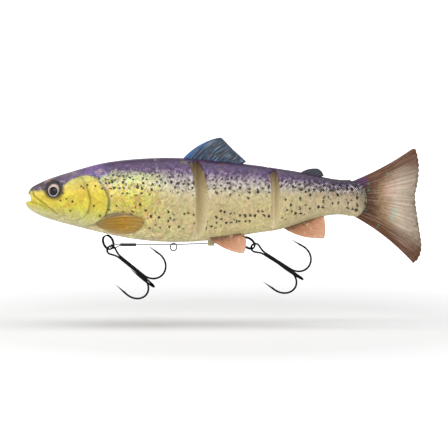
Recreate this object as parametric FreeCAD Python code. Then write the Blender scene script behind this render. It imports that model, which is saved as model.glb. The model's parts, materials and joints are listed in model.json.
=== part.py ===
"""A jointed line-through trout swimbait, 250 mm long, in millimetres.

Frame: +X runs from the mouth to the tail, +Z up to the back, +Y to the fish's right-hand side.
The origin is the mouth of the line tube, on the centre plane.
"""
import FreeCAD
import Part
import math
import os

V = FreeCAD.Vector
os.makedirs("parts", exist_ok=True)

# ---------------------------------------------------------------- driving sizes
CLEARANCE = 0.4            # between soft faces that pass each other
FIT_GAP = 0.3              # between hard faces that turn side by side
FAR = 80.0                 # reach of a cutting tool beyond the body

# Overall body: mouth to front joint, front joint to rear joint, rear joint to the end of the skin
HEAD_LENGTH = 103.0
MIDDLE_LENGTH = 49.6
TAIL_LENGTH = 60.1
BODY_LENGTH = HEAD_LENGTH + MIDDLE_LENGTH + TAIL_LENGTH
BODY_DEPTH = 53.6
BODY_WIDTH = 34.8

# Shape of the body, in hundredths: along the length, back height and belly height of the depth,
# half width of the width
SHAPE = [
    (-1.5, -6.0, -8.8, 4.6),
    (-1.0, 2.8, -11.2, 9.2),
    (-0.4, 10.4, -13.8, 12.6),
    (0.8, 13.6, -17.2, 16.7),
    (2.5, 17.2, -20.7, 22.4),
    (4.3, 20.7, -23.9, 26.7),
    (7.0, 24.4, -26.9, 32.2),
    (9.7, 27.8, -29.9, 36.5),
    (13.2, 31.9, -33.6, 40.8),
    (20.4, 40.1, -40.7, 46.3),
    (25.7, 43.7, -45.3, 48.3),
    (31.1, 45.7, -49.1, 49.4),
    (41.8, 47.6, -52.4, 49.7),
    (52.5, 44.2, -50.7, 46.6),
    (63.2, 39.9, -44.0, 39.9),
    (73.9, 34.1, -38.8, 31.6),
    (79.3, 30.8, -30.6, 26.4),
    (84.6, 26.1, -23.5, 21.3),
    (89.9, 21.6, -19.6, 16.4),
    (93.5, 20.5, -20.1, 13.8),
    (97.1, 23.1, -26.9, 10.9),
    (100.5, 25.0, -30.5, 9.2),
]
BACK_POWER = 1.9           # superellipse power above the widest line
BELLY_POWER = 2.3          # and below it
RING_POINTS = 16           # points round each section

# Mouth
MOUTH_TOP = 2.2
MOUTH_FLOOR = -2.4
SNOUT_X = -1.1

# Line tube: it leaves the belly at EXIT_X, sloping back
LINE_BORE_R = 1.0
LINE_TUBE_WALL = 0.6
LINE_TUBE_R = LINE_BORE_R + LINE_TUBE_WALL
EXIT_X = HEAD_LENGTH - 13.8
TUBE_BEND_R = 35.0
TUBE_DROP_DEG = 40.0
GROMMET_WALL = 0.7
GROMMET_R = LINE_TUBE_R + GROMMET_WALL
GROMMET_LENGTH = 3.0

# Eyes
EYE_X = 15.0
EYE_Z = 5.5
EYE_R = 4.9
EYE_RIM = 0.6              # ring of bare disc round the clear dome
EYE_DISC_T = 1.4
EYE_SEAT = 2.0             # depth of the socket below the skin
EYE_DOME = 1.7
EYE_FORWARD_DEG = 12.0
EYE_UP_DEG = 16.0

# Body joints: knuckles, pins and frames
PIN_R = 1.0
RUNNING_GAP = 0.05
KNUCKLE_WALL = 1.6
KNUCKLE_R = PIN_R + KNUCKLE_WALL
KNUCKLE_H = 4.0
FRAME_T = 3.0
TONGUE_HALF = 5.0          # half thickness of the tongue that holds the front knuckles
ANCHOR_HOLE_R = 1.8        # the soft body fills these holes

FRONT_AXIS_X = HEAD_LENGTH
FRONT_AXIS_Z = -1.6
FRONT_STACK = 10.5         # outer knuckles' middle above and below the stack's centre
FRONT_NOTCH_BACK = 6.5     # how far ahead of the axis the notch's root lies
FRONT_NOTCH_DEG = 27.0
FRONT_WEDGE_DEG = 30.0

REAR_AXIS_X = HEAD_LENGTH + MIDDLE_LENGTH
REAR_AXIS_Z = -1.0
REAR_STACK = 8.5
REAR_NOTCH_BACK = 4.0
REAR_NOTCH_DEG = 17.7
REAR_WEDGE_DEG = 24.3

ARM_REACH = 5.0            # from a hinge axis to the frame's plate
HEAD_PLATE = 18.0          # length of the plate in the head section
HEAD_PLATE_HALF = 12.5     # its half height
MIDDLE_PLATE_HALF = 8.0
TAIL_PLATE = 21.0
TAIL_PLATE_HALF = 5.5

# Tail fin root
TAIL_AXIS_BACK = 7.5       # fin axis ahead of the end of the skin
TAIL_AXIS_X = BODY_LENGTH - TAIL_AXIS_BACK
TAIL_ROOT_TOP = 12.0
TAIL_ROOT_LOW = -12.9
TAIL_BEAD_R = 1.3
TAIL_FIN_T = 2.0
TAIL_SLOT_DEG = 11.0
TAIL_END_R = 14.4          # rounded end of the tail section, seen from the side

# Keel weights: where each rod starts and its length, with the soft cover below it
HEAD_WEIGHT_X = 34.0
HEAD_WEIGHT_LENGTH = 28.0
HEAD_WEIGHT_R = 3.6
HEAD_WEIGHT_COVER = 2.2
MIDDLE_WEIGHT_X = HEAD_LENGTH + 10.0
MIDDLE_WEIGHT_LENGTH = 21.0
MIDDLE_WEIGHT_R = 3.0
MIDDLE_WEIGHT_COVER = 4.8

# Hooks
HOOK_WIRE_R = 0.6
SHANK_OFFSET = 0.72        # three wires round the shank's axis
EYE_LOOP_R = 2.65          # hook eye, to the middle of its wire
NECK = 5.2
SHANK_END = 25.9
BEND_R = 9.2
BEND_DEG = 183.0
POINT_BODY = 2.3
POINT_TAPER = 7.0
POINT_TIP_R = 0.05
BARB_FROM_TIP = 5.6
BARB_LENGTH = 2.2
BARB_SHARE = 0.62          # barb's root radius against the wire's
BARB_LEAN = 0.42           # how far it leans in for each millimetre back
BRAZE_START = 6.4
EYE_SEAT_BACK = 0.85       # the ring sits this far ahead of the eye's centre

# Split rings
RING_R = 4.55
RING_WIDE = 0.8
RING_THICK = 0.62
RING_PITCH = 0.68
RING_OUTER = RING_R + RING_WIDE / 2

# Trace wire, its loops and crimp sleeves
TRACE_R = 0.3
LOOP_R = 1.85
LEG_GAP = 0.68             # between the two wires inside a sleeve
SLEEVE_R = 0.95
TAG_END = 1.0              # the tag end stops this far inside the sleeve
LEAD_OUT = 5.0             # straight wire behind the front sleeve
LEAD_IN = 1.2              # and ahead of the rear one

# Tie ring, hanging on the trace below the belly grommet
TIE_RING_R = 2.35
TIE_WIRE_R = 0.35
TIE_RING_X = EXIT_X + 0.9
TIE_RING_TURN = 32.0
TRACE_DROP = 1.75          # trace below the belly at the tie ring
TIE_RING_GAP = 0.2         # between the ring's top and the trace

# Front rig
FRONT_RING_X = 48.9
FRONT_RING_Y = -0.95
FRONT_RING_HANG = 0.6      # ring's top below the belly
FRONT_RING_LEAN = 115.0    # direction of the ring's long axis above +X, degrees
FRONT_RING_TILT = 54.5     # how far the ring is turned edge-on
FRONT_LOOP_AT = 35.0       # where the trace loop sits round the ring, from its low end
FRONT_EYE_AT = -15.0       # where the hook eye sits
FRONT_LOOP_TURN = 40.0
FRONT_HOOK_DEG = 39.2
FRONT_SLEEVE_LENGTH = 10.0
FRONT_SLEEVE_MOUTH = 4.6   # from the loop's centre to the sleeve

# Rear rig
REAR_RING_X = REAR_AXIS_X - 15.2
REAR_RING_Y = 0.0
REAR_RING_HANG = 2.0
REAR_RING_LEAN = 146.2
REAR_RING_TILT = 56.6
REAR_LOOP_AT = 180.0
REAR_EYE_AT = 0.0
REAR_LOOP_TURN = 29.0
REAR_HOOK_DEG = 32.6
REAR_SLEEVE_LENGTH = 8.5
REAR_SLEEVE_MOUTH = 3.6

# Wire keeper in the middle section's belly
KEEPER_X = HEAD_LENGTH + 10.8
KEEPER_LENGTH = 4.0
KEEPER_HALF = 1.6
KEEPER_DROP = 2.0          # its bore below the belly
KEEPER_ROOT = 4.0          # how far it reaches into the belly
KEEPER_BORE_R = TRACE_R + 0.1

# Fins: thickness, and where each one starts
FIN_T = 1.6
DORSAL_X = HEAD_LENGTH
ADIPOSE_X = REAR_AXIS_X + 18.4
ANAL_X = REAR_AXIS_X + 6.9
PELVIC_X = HEAD_LENGTH + 10.4
PELVIC_T = 1.2
PELVIC_SPLAY_DEG = 16.0
PELVIC_Y = 6.4
PECTORAL_X = 42.0
PECTORAL_Z = -12.6
PECTORAL_T = 1.2
PECTORAL_SINK = 0.4        # the root's middle below the skin
PECTORAL_FLARE_DEG = 9.0
PECTORAL_TILT_DEG = 30.0


# ---------------------------------------------------------------- small helpers
def save(name, shape):
    shape.exportStep("parts/%s.step" % name)
    print("%-22s %8.1f mm3  solids %d  valid %s"
          % (name, shape.Volume, len(shape.Solids), shape.isValid()))


def turned(shape, axis, degrees, centre=V(0, 0, 0)):
    copy = shape.copy()
    copy.rotate(centre, axis, degrees)
    return copy


def moved(shape, offset):
    copy = shape.copy()
    copy.translate(offset)
    return copy


def mirrored(shape):
    """The same piece on the other side of the centre plane."""
    return shape.mirror(V(0, 0, 0), V(0, 1, 0))


def round_bar(start, end, radius):
    axis = end.sub(start)
    return Part.makeCylinder(radius, axis.Length, start, axis)


def tube_along(edges, radius):
    """A round bar swept along tangent edges."""
    path = Part.Wire(edges)
    first = path.Edges[0]
    at = first.valueAt(first.FirstParameter)
    direction = first.tangentAt(first.FirstParameter)
    ring = Part.Wire([Part.Circle(at, direction, radius).toShape()])
    return path.makePipeShell([ring], True, False)


def rounded(points, share=0.45):
    """Straight runs joined by the largest tangent arcs that share of the shorter run allows."""
    edges = []
    last = points[0]
    for before, corner, after in zip(points, points[1:], points[2:]):
        back = before.sub(corner)
        on = after.sub(corner)
        reach = share * min(back.Length, on.Length)
        back.normalize()
        on.normalize()
        turn = math.pi - back.getAngle(on)
        if turn < 1e-4:
            continue
        radius = reach / math.tan(turn / 2)
        start = corner.add(back * reach)
        end = corner.add(on * reach)
        inward = back.add(on)
        inward.normalize()
        centre = corner.add(inward * math.hypot(reach, radius))
        middle = centre.sub(inward * radius)
        edges.append(Part.LineSegment(last, start).toShape())
        edges.append(Part.Arc(start, middle, end).toShape())
        last = end
    edges.append(Part.LineSegment(last, points[-1]).toShape())
    return edges


def prism(points, low, high):
    """An upright prism over a plan outline given as (x, y) pairs."""
    corners = [V(x, y, low) for x, y in points]
    face = Part.Face(Part.makePolygon(corners + corners[:1]))
    return face.extrude(V(0, 0, high - low))


def outline_face(curves, closing=()):
    """A face in the centre plane from smooth runs of (x, z) points, each run one spline,
    joined end to end; closing points are straight."""
    edges = []
    for run in curves:
        points = [V(x, 0, z) for x, z in run]
        if len(points) == 2:
            edges.append(Part.LineSegment(points[0], points[1]).toShape())
        else:
            spline = Part.BSplineCurve()
            spline.interpolate(points)
            edges.append(spline.toShape())
    first = V(curves[0][0][0], 0, curves[0][0][1])
    last = V(curves[-1][-1][0], 0, curves[-1][-1][1])
    straight = [last] + [V(x, 0, z) for x, z in closing] + [first]
    for a, b in zip(straight, straight[1:]):
        edges.append(Part.LineSegment(a, b).toShape())
    return Part.Face(Part.Wire(edges))


def plate(face, thickness):
    """A face in the centre plane, thickened equally to both sides."""
    half = moved(face, V(0, -thickness / 2, 0))
    return half.extrude(V(0, thickness, 0))


# ---------------------------------------------------------------- body form
def stations():
    """Section sizes in millimetres: x, back height, belly height, half width."""
    for along, back, belly, half_width in SHAPE:
        yield (along * BODY_LENGTH / 100, back * BODY_DEPTH / 100,
               belly * BODY_DEPTH / 100, half_width * BODY_WIDTH / 100)


def station_at(x):
    """Back height, belly height and half width at x."""
    rows = list(stations())
    for a, b in zip(rows, rows[1:]):
        if a[0] <= x <= b[0]:
            t = (x - a[0]) / (b[0] - a[0])
            return [a[i] + t * (b[i] - a[i]) for i in (1, 2, 3)]
    return list(rows[-1][1:])


def back_at(x):
    return station_at(x)[0]


def belly_at(x):
    return station_at(x)[1]


def skin_y(x, z):
    """Distance of the skin from the centre plane at x and z."""
    top, bottom, half_width = station_at(x)
    middle = (top + bottom) / 2
    power = BACK_POWER if z > middle else BELLY_POWER
    share = min(1.0, abs(z - middle) / ((top - bottom) / 2))
    return half_width * (1 - share ** power) ** (1 / power)


def section_points(top, bottom, half_width):
    middle = (top + bottom) / 2
    half_height = (top - bottom) / 2
    points = []
    for k in range(RING_POINTS):
        angle = 2 * math.pi * k / RING_POINTS
        c, s = math.cos(angle), math.sin(angle)
        power = 2 / (BACK_POWER if s > 0 else BELLY_POWER)
        y = half_width * math.copysign(abs(c) ** power, c)
        z = middle + half_height * math.copysign(abs(s) ** power, s)
        points.append((y, z))
    return points


def body_form():
    """The whole fish without its fins, as one closed solid with a rounded tail end."""
    rings = []
    for x, top, bottom, half_width in stations():
        spline = Part.BSplineCurve()
        spline.interpolate([V(x, y, z) for y, z in section_points(top, bottom, half_width)], True)
        rings.append(Part.Wire([spline.toShape()]))
    fish = Part.makeLoft(rings, True, False)
    centre_x = BODY_LENGTH - TAIL_END_R
    ahead_x = centre_x - BODY_LENGTH - FAR
    ahead = Part.makeBox(BODY_LENGTH + FAR, 2 * FAR, 2 * FAR, V(ahead_x, -FAR, -FAR))
    end = Part.makeCylinder(TAIL_END_R, 2 * FAR, V(centre_x, -FAR, 0), V(0, 1, 0))
    return fish.common(ahead.fuse(end))


def front_of_joint(axis_x, notch_back, notch_deg):
    """Space kept by the section ahead of a body joint: a notch with a central tongue."""
    slope = math.tan(math.radians(notch_deg))
    root = axis_x - notch_back
    side = root + slope * TONGUE_HALF
    wing = root + slope * FAR
    nose = axis_x - CLEARANCE
    plan = [(-FAR, -FAR), (wing, -FAR), (side, -TONGUE_HALF), (nose, -TONGUE_HALF),
            (nose, TONGUE_HALF), (side, TONGUE_HALF), (wing, FAR), (-FAR, FAR)]
    return prism(plan, -FAR, FAR)


def back_of_joint(axis_x, wedge_deg, end):
    """Space kept by the section behind a body joint: a wedge pointing forward."""
    slope = math.tan(math.radians(wedge_deg))
    point = axis_x + CLEARANCE
    plan = [(point, 0), (point + slope * FAR, FAR), (end, FAR), (end, -FAR),
            (point + slope * FAR, -FAR)]
    return prism(plan, -FAR, FAR)


def knuckle_well(axis_x, centre_z, stack):
    """The round well that clears the knuckle stack in both sections."""
    reach = stack + KNUCKLE_H / 2 + CLEARANCE
    radius = KNUCKLE_R + CLEARANCE
    return Part.makeCylinder(radius, 2 * reach, V(axis_x, 0, centre_z - reach))


# ---------------------------------------------------------------- hinge frames
def knuckles(axis_x, centre_z, offset):
    """Two knuckles on one axis, still without their bore."""
    solids = []
    for sign in (1, -1):
        low = centre_z + sign * offset - KNUCKLE_H / 2
        solids.append(Part.makeCylinder(KNUCKLE_R, KNUCKLE_H, V(axis_x, 0, low)))
    return solids


def frame_plate(x0, x1, z0, z1):
    return Part.makeBox(x1 - x0, FRAME_T, z1 - z0, V(x0, -FRAME_T / 2, z0))


def hinge_frame(plate_span, centre_z, half_height, hinges):
    """A centre plate with arms to each hinge axis, and a row of anchoring holes.

    hinges: axis x, centre z, knuckle offset and bore radius of each hinge."""
    x0, x1 = plate_span
    solid = frame_plate(x0, x1, centre_z - half_height, centre_z + half_height)
    for axis_x, hinge_z, offset, bore_r in hinges:
        near = x1 if axis_x > x1 else x0
        for sign in (1, -1):
            low = hinge_z + sign * offset - KNUCKLE_H / 2
            arm = frame_plate(min(near, axis_x), max(near, axis_x), low, low + KNUCKLE_H)
            solid = solid.fuse(arm)
        solid = solid.fuse(knuckles(axis_x, hinge_z, offset))
    for axis_x, hinge_z, offset, bore_r in hinges:
        solid = solid.cut(Part.makeCylinder(bore_r, 2 * FAR, V(axis_x, 0, -FAR)))
    count = int((x1 - x0) // (4 * ANCHOR_HOLE_R))
    for k in range(count):
        x = x0 + (k + 0.5) * (x1 - x0) / count
        hole = Part.makeCylinder(ANCHOR_HOLE_R, FRAME_T * 2, V(x, -FRAME_T, centre_z), V(0, 1, 0))
        solid = solid.cut(hole)
    return solid.removeSplitter()


def hinge_pin(axis_x, centre_z, stack):
    half = stack + KNUCKLE_H / 2
    return Part.makeCylinder(PIN_R, 2 * half, V(axis_x, 0, centre_z - half))


def inner_offset(stack):
    """Middle of the inner knuckles, which turn just inside the outer ones."""
    return stack - KNUCKLE_H - FIT_GAP


def head_frame():
    end = FRONT_AXIS_X - ARM_REACH
    return hinge_frame((end - HEAD_PLATE, end), FRONT_AXIS_Z, HEAD_PLATE_HALF,
                       [(FRONT_AXIS_X, FRONT_AXIS_Z, FRONT_STACK, PIN_R)])


def middle_frame():
    span = (FRONT_AXIS_X + ARM_REACH, REAR_AXIS_X - ARM_REACH)
    return hinge_frame(span, REAR_AXIS_Z, MIDDLE_PLATE_HALF,
                       [(FRONT_AXIS_X, FRONT_AXIS_Z, inner_offset(FRONT_STACK), PIN_R + RUNNING_GAP),
                        (REAR_AXIS_X, REAR_AXIS_Z, REAR_STACK, PIN_R)])


def tail_frame():
    start = REAR_AXIS_X + ARM_REACH
    return hinge_frame((start, start + TAIL_PLATE), REAR_AXIS_Z, TAIL_PLATE_HALF,
                       [(REAR_AXIS_X, REAR_AXIS_Z, inner_offset(REAR_STACK), PIN_R + RUNNING_GAP)])


# ---------------------------------------------------------------- line tube
def tube_path():
    """Level from the mouth, one wide bend, then a straight slope out through the belly."""
    drop = math.radians(TUBE_DROP_DEG)
    exit_point = V(EXIT_X, 0, belly_at(EXIT_X))
    corner_x = EXIT_X + exit_point.z / math.tan(drop)
    bend_start = V(corner_x - TUBE_BEND_R * math.tan(drop / 2), 0, 0)
    centre = bend_start.sub(V(0, 0, TUBE_BEND_R))

    def on_bend(angle):
        return centre.add(V(math.sin(angle), 0, math.cos(angle)) * TUBE_BEND_R)

    past_skin = exit_point.add(V(math.cos(drop), 0, -math.sin(drop)) * 2 * LINE_TUBE_R)
    return [
        Part.LineSegment(V(0, 0, 0), bend_start).toShape(),
        Part.Arc(bend_start, on_bend(drop / 2), on_bend(drop)).toShape(),
        Part.LineSegment(on_bend(drop), past_skin).toShape(),
    ]


def line_bore():
    return tube_along(tube_path(), LINE_BORE_R)


def line_tube(skin):
    wall = tube_along(tube_path(), LINE_TUBE_R).common(skin)
    return wall.cut(line_bore())


def mouth_grommet():
    ring = Part.makeCylinder(GROMMET_R, GROMMET_LENGTH, V(0, 0, 0), V(1, 0, 0))
    return ring.cut(Part.makeCylinder(LINE_TUBE_R, GROMMET_LENGTH, V(0, 0, 0), V(1, 0, 0)))


def belly_grommet(skin):
    drop = math.radians(TUBE_DROP_DEG)
    along = V(math.cos(drop), 0, -math.sin(drop))
    middle = V(EXIT_X, 0, belly_at(EXIT_X))
    start = middle.sub(along * (GROMMET_LENGTH + GROMMET_R))
    end = middle.add(along * 2 * LINE_TUBE_R)
    ring = round_bar(start, end, GROMMET_R).common(skin)
    return ring.cut(round_bar(start, end, LINE_TUBE_R))


# ---------------------------------------------------------------- eyes
def eye_frame(side):
    """Seat centre on the skin and outward direction; side is -1 for the left eye."""
    up = math.radians(EYE_UP_DEG)
    forward = math.radians(EYE_FORWARD_DEG)
    out = V(-math.sin(forward) * math.cos(up), side * math.cos(forward) * math.cos(up), math.sin(up))
    return V(EYE_X, side * skin_y(EYE_X, EYE_Z), EYE_Z), out


def eye_socket(side):
    at, out = eye_frame(side)
    return Part.makeCylinder(EYE_R, EYE_SEAT + FAR / 4, at.sub(out * EYE_SEAT), out)


def eye_disc(side):
    at, out = eye_frame(side)
    return Part.makeCylinder(EYE_R, EYE_DISC_T, at.sub(out * EYE_SEAT), out)


def eye_lens(side):
    at, out = eye_frame(side)
    seat = at.sub(out * (EYE_SEAT - EYE_DISC_T))
    lens_r = EYE_R - EYE_RIM
    ball_r = (lens_r ** 2 + EYE_DOME ** 2) / (2 * EYE_DOME)
    ball = Part.makeSphere(ball_r, seat.sub(out * (ball_r - EYE_DOME)))
    return ball.common(Part.makeCylinder(ball_r, EYE_DOME * 2, seat, out))


# ---------------------------------------------------------------- fins
def on_body(outline, x, z):
    """Shift an outline given from a fin's own start on the body."""
    return [[(x + a, z + b) for a, b in run] for run in outline]


def dorsal_fin():
    lead = [(-6.5, 1.2), (-2.8, 5.6), (4.4, 10.4), (10.4, 12.5), (15.5, 13.5), (17.4, 13.2)]
    trail = [(17.4, 13.2), (21.4, 10.1), (27.6, 3.4), (33.3, -2.6)]
    root = [(31.0, -6.1), (3.0, -4.1), (2.0, 0.7), (0.0, 1.1)]
    lead, trail, root = on_body([lead, trail, root], DORSAL_X, back_at(DORSAL_X))
    return plate(outline_face([lead, trail], root), FIN_T)


def adipose_fin():
    over = [(0.0, 0.5), (2.6, 1.6), (7.0, 2.6), (11.4, 1.9), (13.9, -1.6)]
    root = [(13.4, -5.0), (1.0, -2.0)]
    over, root = on_body([over, root], ADIPOSE_X, back_at(ADIPOSE_X))
    return plate(outline_face([over], root), FIN_T)


def anal_fin():
    under = [(0.0, -0.6), (6.5, -4.0), (14.2, -6.2), (21.7, -6.8), (26.1, -6.4)]
    rear = [(26.1, -6.4), (26.7, 1.0), (25.4, 7.2)]
    root = [(24.5, 10.0), (1.0, 2.5)]
    under, rear, root = on_body([under, rear, root], ANAL_X, belly_at(ANAL_X))
    return plate(outline_face([under, rear], root), FIN_T)


def pelvic_fin(side):
    under = [(0.0, -0.8), (7.8, -5.1), (14.6, -7.4), (21.1, -7.9)]
    rear = [(21.1, -7.9), (22.6, -4.0), (21.2, 2.4)]
    root = [(19.1, 5.6), (1.6, 2.8)]
    under, rear, root = on_body([under, rear, root], PELVIC_X, belly_at(PELVIC_X))
    fin = moved(plate(outline_face([under, rear], root), PELVIC_T), V(0, PELVIC_Y, 0))
    fin = turned(fin, V(1, 0, 0), PELVIC_SPLAY_DEG, V(PELVIC_X, PELVIC_Y, belly_at(PELVIC_X) + 4.5))
    return fin if side > 0 else mirrored(fin)


def pectoral_fin(side):
    """Drawn from its root, then laid along the flank."""
    upper = [(0.0, -1.0), (4.0, 3.0), (11.0, 4.8), (21.0, 4.6), (29.0, 2.2)]
    lower = [(29.0, 2.2), (28.0, -4.0), (20.0, -7.8), (9.0, -7.0), (2.0, -4.2)]
    fin = plate(outline_face([upper, lower]), PECTORAL_T)
    fin = turned(fin, V(1, 0, 0), -PECTORAL_TILT_DEG)
    fin = turned(fin, V(0, 0, 1), PECTORAL_FLARE_DEG)
    root_y = skin_y(PECTORAL_X, PECTORAL_Z) - PECTORAL_SINK
    fin = moved(fin, V(PECTORAL_X, root_y, PECTORAL_Z))
    return fin if side > 0 else mirrored(fin)


def tail_fin():
    top = [(0.0, TAIL_ROOT_TOP), (8.9, 14.9), (16.5, 18.6), (24.1, 23.0), (31.7, 28.3), (35.2, 30.7)]
    top_tip = [(35.2, 30.7), (36.8, 31.0), (38.2, 29.6)]
    rear = [(38.2, 29.6), (39.4, 20.5), (37.5, 4.0), (37.5, -4.0), (39.7, -18.0), (41.6, -30.0),
            (39.4, -39.8)]
    low_tip = [(39.4, -39.8), (37.0, -41.6), (34.8, -41.3)]
    low = [(34.8, -41.3), (27.9, -35.1), (20.3, -28.4), (12.7, -22.4), (5.1, -17.0),
           (0.0, TAIL_ROOT_LOW)]
    runs = on_body([top, top_tip, rear, low_tip, low], TAIL_AXIS_X, 0.0)
    blade = plate(outline_face(runs), TAIL_FIN_T)
    height = TAIL_ROOT_TOP - TAIL_ROOT_LOW
    bead = Part.makeCylinder(TAIL_BEAD_R, height, V(TAIL_AXIS_X, 0, TAIL_ROOT_LOW))
    return blade.fuse(bead).removeSplitter()


def tail_slot():
    """The slot that holds the fin's bead and lets the blade swing."""
    half = TAIL_FIN_T / 2 + FIT_GAP
    reach = TAIL_AXIS_BACK + CLEARANCE
    wide = half + reach * math.tan(math.radians(TAIL_SLOT_DEG))
    x0 = TAIL_AXIS_X
    plan = [(x0, -half), (x0 + reach, -wide), (x0 + reach, wide), (x0, half)]
    well = Part.makeCylinder(TAIL_BEAD_R + FIT_GAP, 2 * FAR, V(x0, 0, -FAR))
    return prism(plan, -FAR, FAR).fuse(well)


# ---------------------------------------------------------------- hooks and rings
def ring_axes(lean_deg, tilt_deg):
    """Long axis, turned axis and normal of a ring that is seen part edge-on."""
    lean = math.radians(lean_deg)
    tilt = math.radians(tilt_deg)
    long_axis = V(math.cos(lean), 0, math.sin(lean))
    across = V(math.sin(lean), 0, -math.cos(lean))
    turned_axis = across * math.cos(tilt) + V(0, math.sin(tilt), 0)
    return long_axis, turned_axis, long_axis.cross(turned_axis)


def ring_centre(x, y, hang, axes):
    """The ring hangs with its highest edge this far below the belly."""
    rise = RING_OUTER * math.hypot(axes[0].z, axes[1].z)
    return V(x, y, belly_at(x) - hang - rise)


def ring_point(centre, axes, degrees):
    """A point on the ring's middle line, counted from its low end."""
    a = math.radians(degrees)
    return centre.add(axes[0] * (-RING_R * math.cos(a))).add(axes[1] * (RING_R * math.sin(a)))


def split_ring(centre, axes):
    """Two turns of flat wire, one coil lying on the other."""
    height = 2 * RING_PITCH
    helix = Part.makeHelix(RING_PITCH, height, RING_R)
    corner = V(RING_R - RING_WIDE / 2, 0, -RING_THICK / 2)
    profile = Part.makePolygon([corner, corner.add(V(RING_WIDE, 0, 0)),
                                corner.add(V(RING_WIDE, 0, RING_THICK)),
                                corner.add(V(0, 0, RING_THICK)), corner])
    coil = Part.Wire(helix.Edges).makePipeShell([profile], True, True)
    coil = moved(coil, V(0, 0, -height / 2))
    place = FreeCAD.Placement(centre, FreeCAD.Rotation(axes[0], axes[1], axes[2], "XYZ"))
    coil.Placement = place.multiply(coil.Placement)
    return coil


def hook_arm():
    """One bend and point in the XZ plane, from the end of the shank."""
    centre = V(SHANK_END, 0, SHANK_OFFSET + BEND_R)

    def on_bend(degrees):
        a = math.radians(degrees)
        return centre.add(V(math.sin(a), 0, -math.cos(a)) * BEND_R)

    start, end = on_bend(0), on_bend(BEND_DEG)
    a = math.radians(BEND_DEG)
    along = V(math.cos(a), 0, math.sin(a))
    straight_end = end.add(along * POINT_BODY)
    bar = tube_along([Part.Arc(start, on_bend(BEND_DEG / 2), end).toShape(),
                      Part.LineSegment(end, straight_end).toShape()], HOOK_WIRE_R)
    point = Part.makeCone(HOOK_WIRE_R, POINT_TIP_R, POINT_TAPER, straight_end, along)
    tip = straight_end.add(along * POINT_TAPER)
    inward = V(math.sin(a), 0, -math.cos(a)) * -1
    barb_dir = (along * -1.0).add(inward * BARB_LEAN)
    barb_root = tip.sub(along * BARB_FROM_TIP)
    barb = Part.makeCone(HOOK_WIRE_R * BARB_SHARE, POINT_TIP_R, BARB_LENGTH, barb_root, barb_dir)
    return bar.fuse(point).fuse(barb)


def arm_turned(degrees):
    return turned(hook_arm(), V(1, 0, 0), -degrees)


def double_hook():
    """One wire: point, shank, eye, shank, point."""
    level = SHANK_OFFSET * math.sin(math.radians(30))
    spread = SHANK_OFFSET * math.cos(math.radians(30))
    reach = math.hypot(NECK, spread)
    opening = math.asin(EYE_LOOP_R / reach) - math.atan2(spread, NECK)
    touch = math.pi / 2 - opening

    def on_eye(angle):
        return V(math.cos(angle) * EYE_LOOP_R, level, math.sin(angle) * EYE_LOOP_R)

    low = [V(SHANK_END, level, -spread), V(NECK, level, -spread), on_eye(-touch)]
    high = [on_eye(touch), V(NECK, level, spread), V(SHANK_END, level, spread)]
    edges = rounded(low)
    edges.append(Part.Arc(on_eye(-touch), on_eye(math.pi), on_eye(touch)).toShape())
    edges += rounded(high)
    wire = tube_along(edges, HOOK_WIRE_R)
    return wire.fuse([arm_turned(30), arm_turned(150)]).removeSplitter()


def single_hook():
    """The third hook, brazed along the other two."""
    start = V(BRAZE_START, 0, SHANK_OFFSET)
    shank = Part.makeCylinder(HOOK_WIRE_R, SHANK_END - BRAZE_START, start, V(1, 0, 0))
    shank = turned(shank, V(1, 0, 0), 90)
    return shank.fuse(arm_turned(-90)).removeSplitter()


def place_hook(shape, ring_seat, pitch_deg):
    """Hang a hook with its eye on a ring; pitch is how far the shank points down."""
    pitch = math.radians(pitch_deg)
    level = SHANK_OFFSET * math.sin(math.radians(30))
    along = V(math.cos(pitch), 0, -math.sin(pitch))
    eye = ring_seat.add(along * EYE_SEAT_BACK).sub(V(0, level, 0))
    return moved(turned(shape, V(0, 1, 0), pitch_deg), eye)


# ---------------------------------------------------------------- trace
def end_loop(mouth, length, flip):
    """The closed loop and both its legs, drawn in the XZ plane round the origin.

    The loop's centre is the origin, the first leg runs along +X at one side of the loop and
    is the standing wire; flip is -1 where that leg runs below the centre."""
    first = LOOP_R
    second = LOOP_R - LEG_GAP
    reach = math.hypot(mouth, second)
    touch = math.atan2(second, mouth) - math.acos(LOOP_R / reach)

    def on_loop(angle):
        return V(math.cos(angle) * LOOP_R, 0, math.sin(angle) * LOOP_R * flip)

    edges = [
        Part.LineSegment(V(mouth + length, 0, first * flip), V(0, 0, first * flip)).toShape(),
        Part.Arc(V(0, 0, first * flip), on_loop(math.pi), on_loop(touch)).toShape(),
    ]
    leg = [on_loop(touch), V(mouth, 0, second * flip), V(mouth + length - TAG_END, 0, second * flip)]
    return edges + rounded(leg, 0.3)


def trace_z(x):
    """Height of the trace from the tie ring to the keeper."""
    low = belly_at(TIE_RING_X) - TRACE_DROP
    keeper = belly_at(KEEPER_X) - KEEPER_DROP
    return low + (keeper - low) * (x - TIE_RING_X) / (KEEPER_X - TIE_RING_X)


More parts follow.
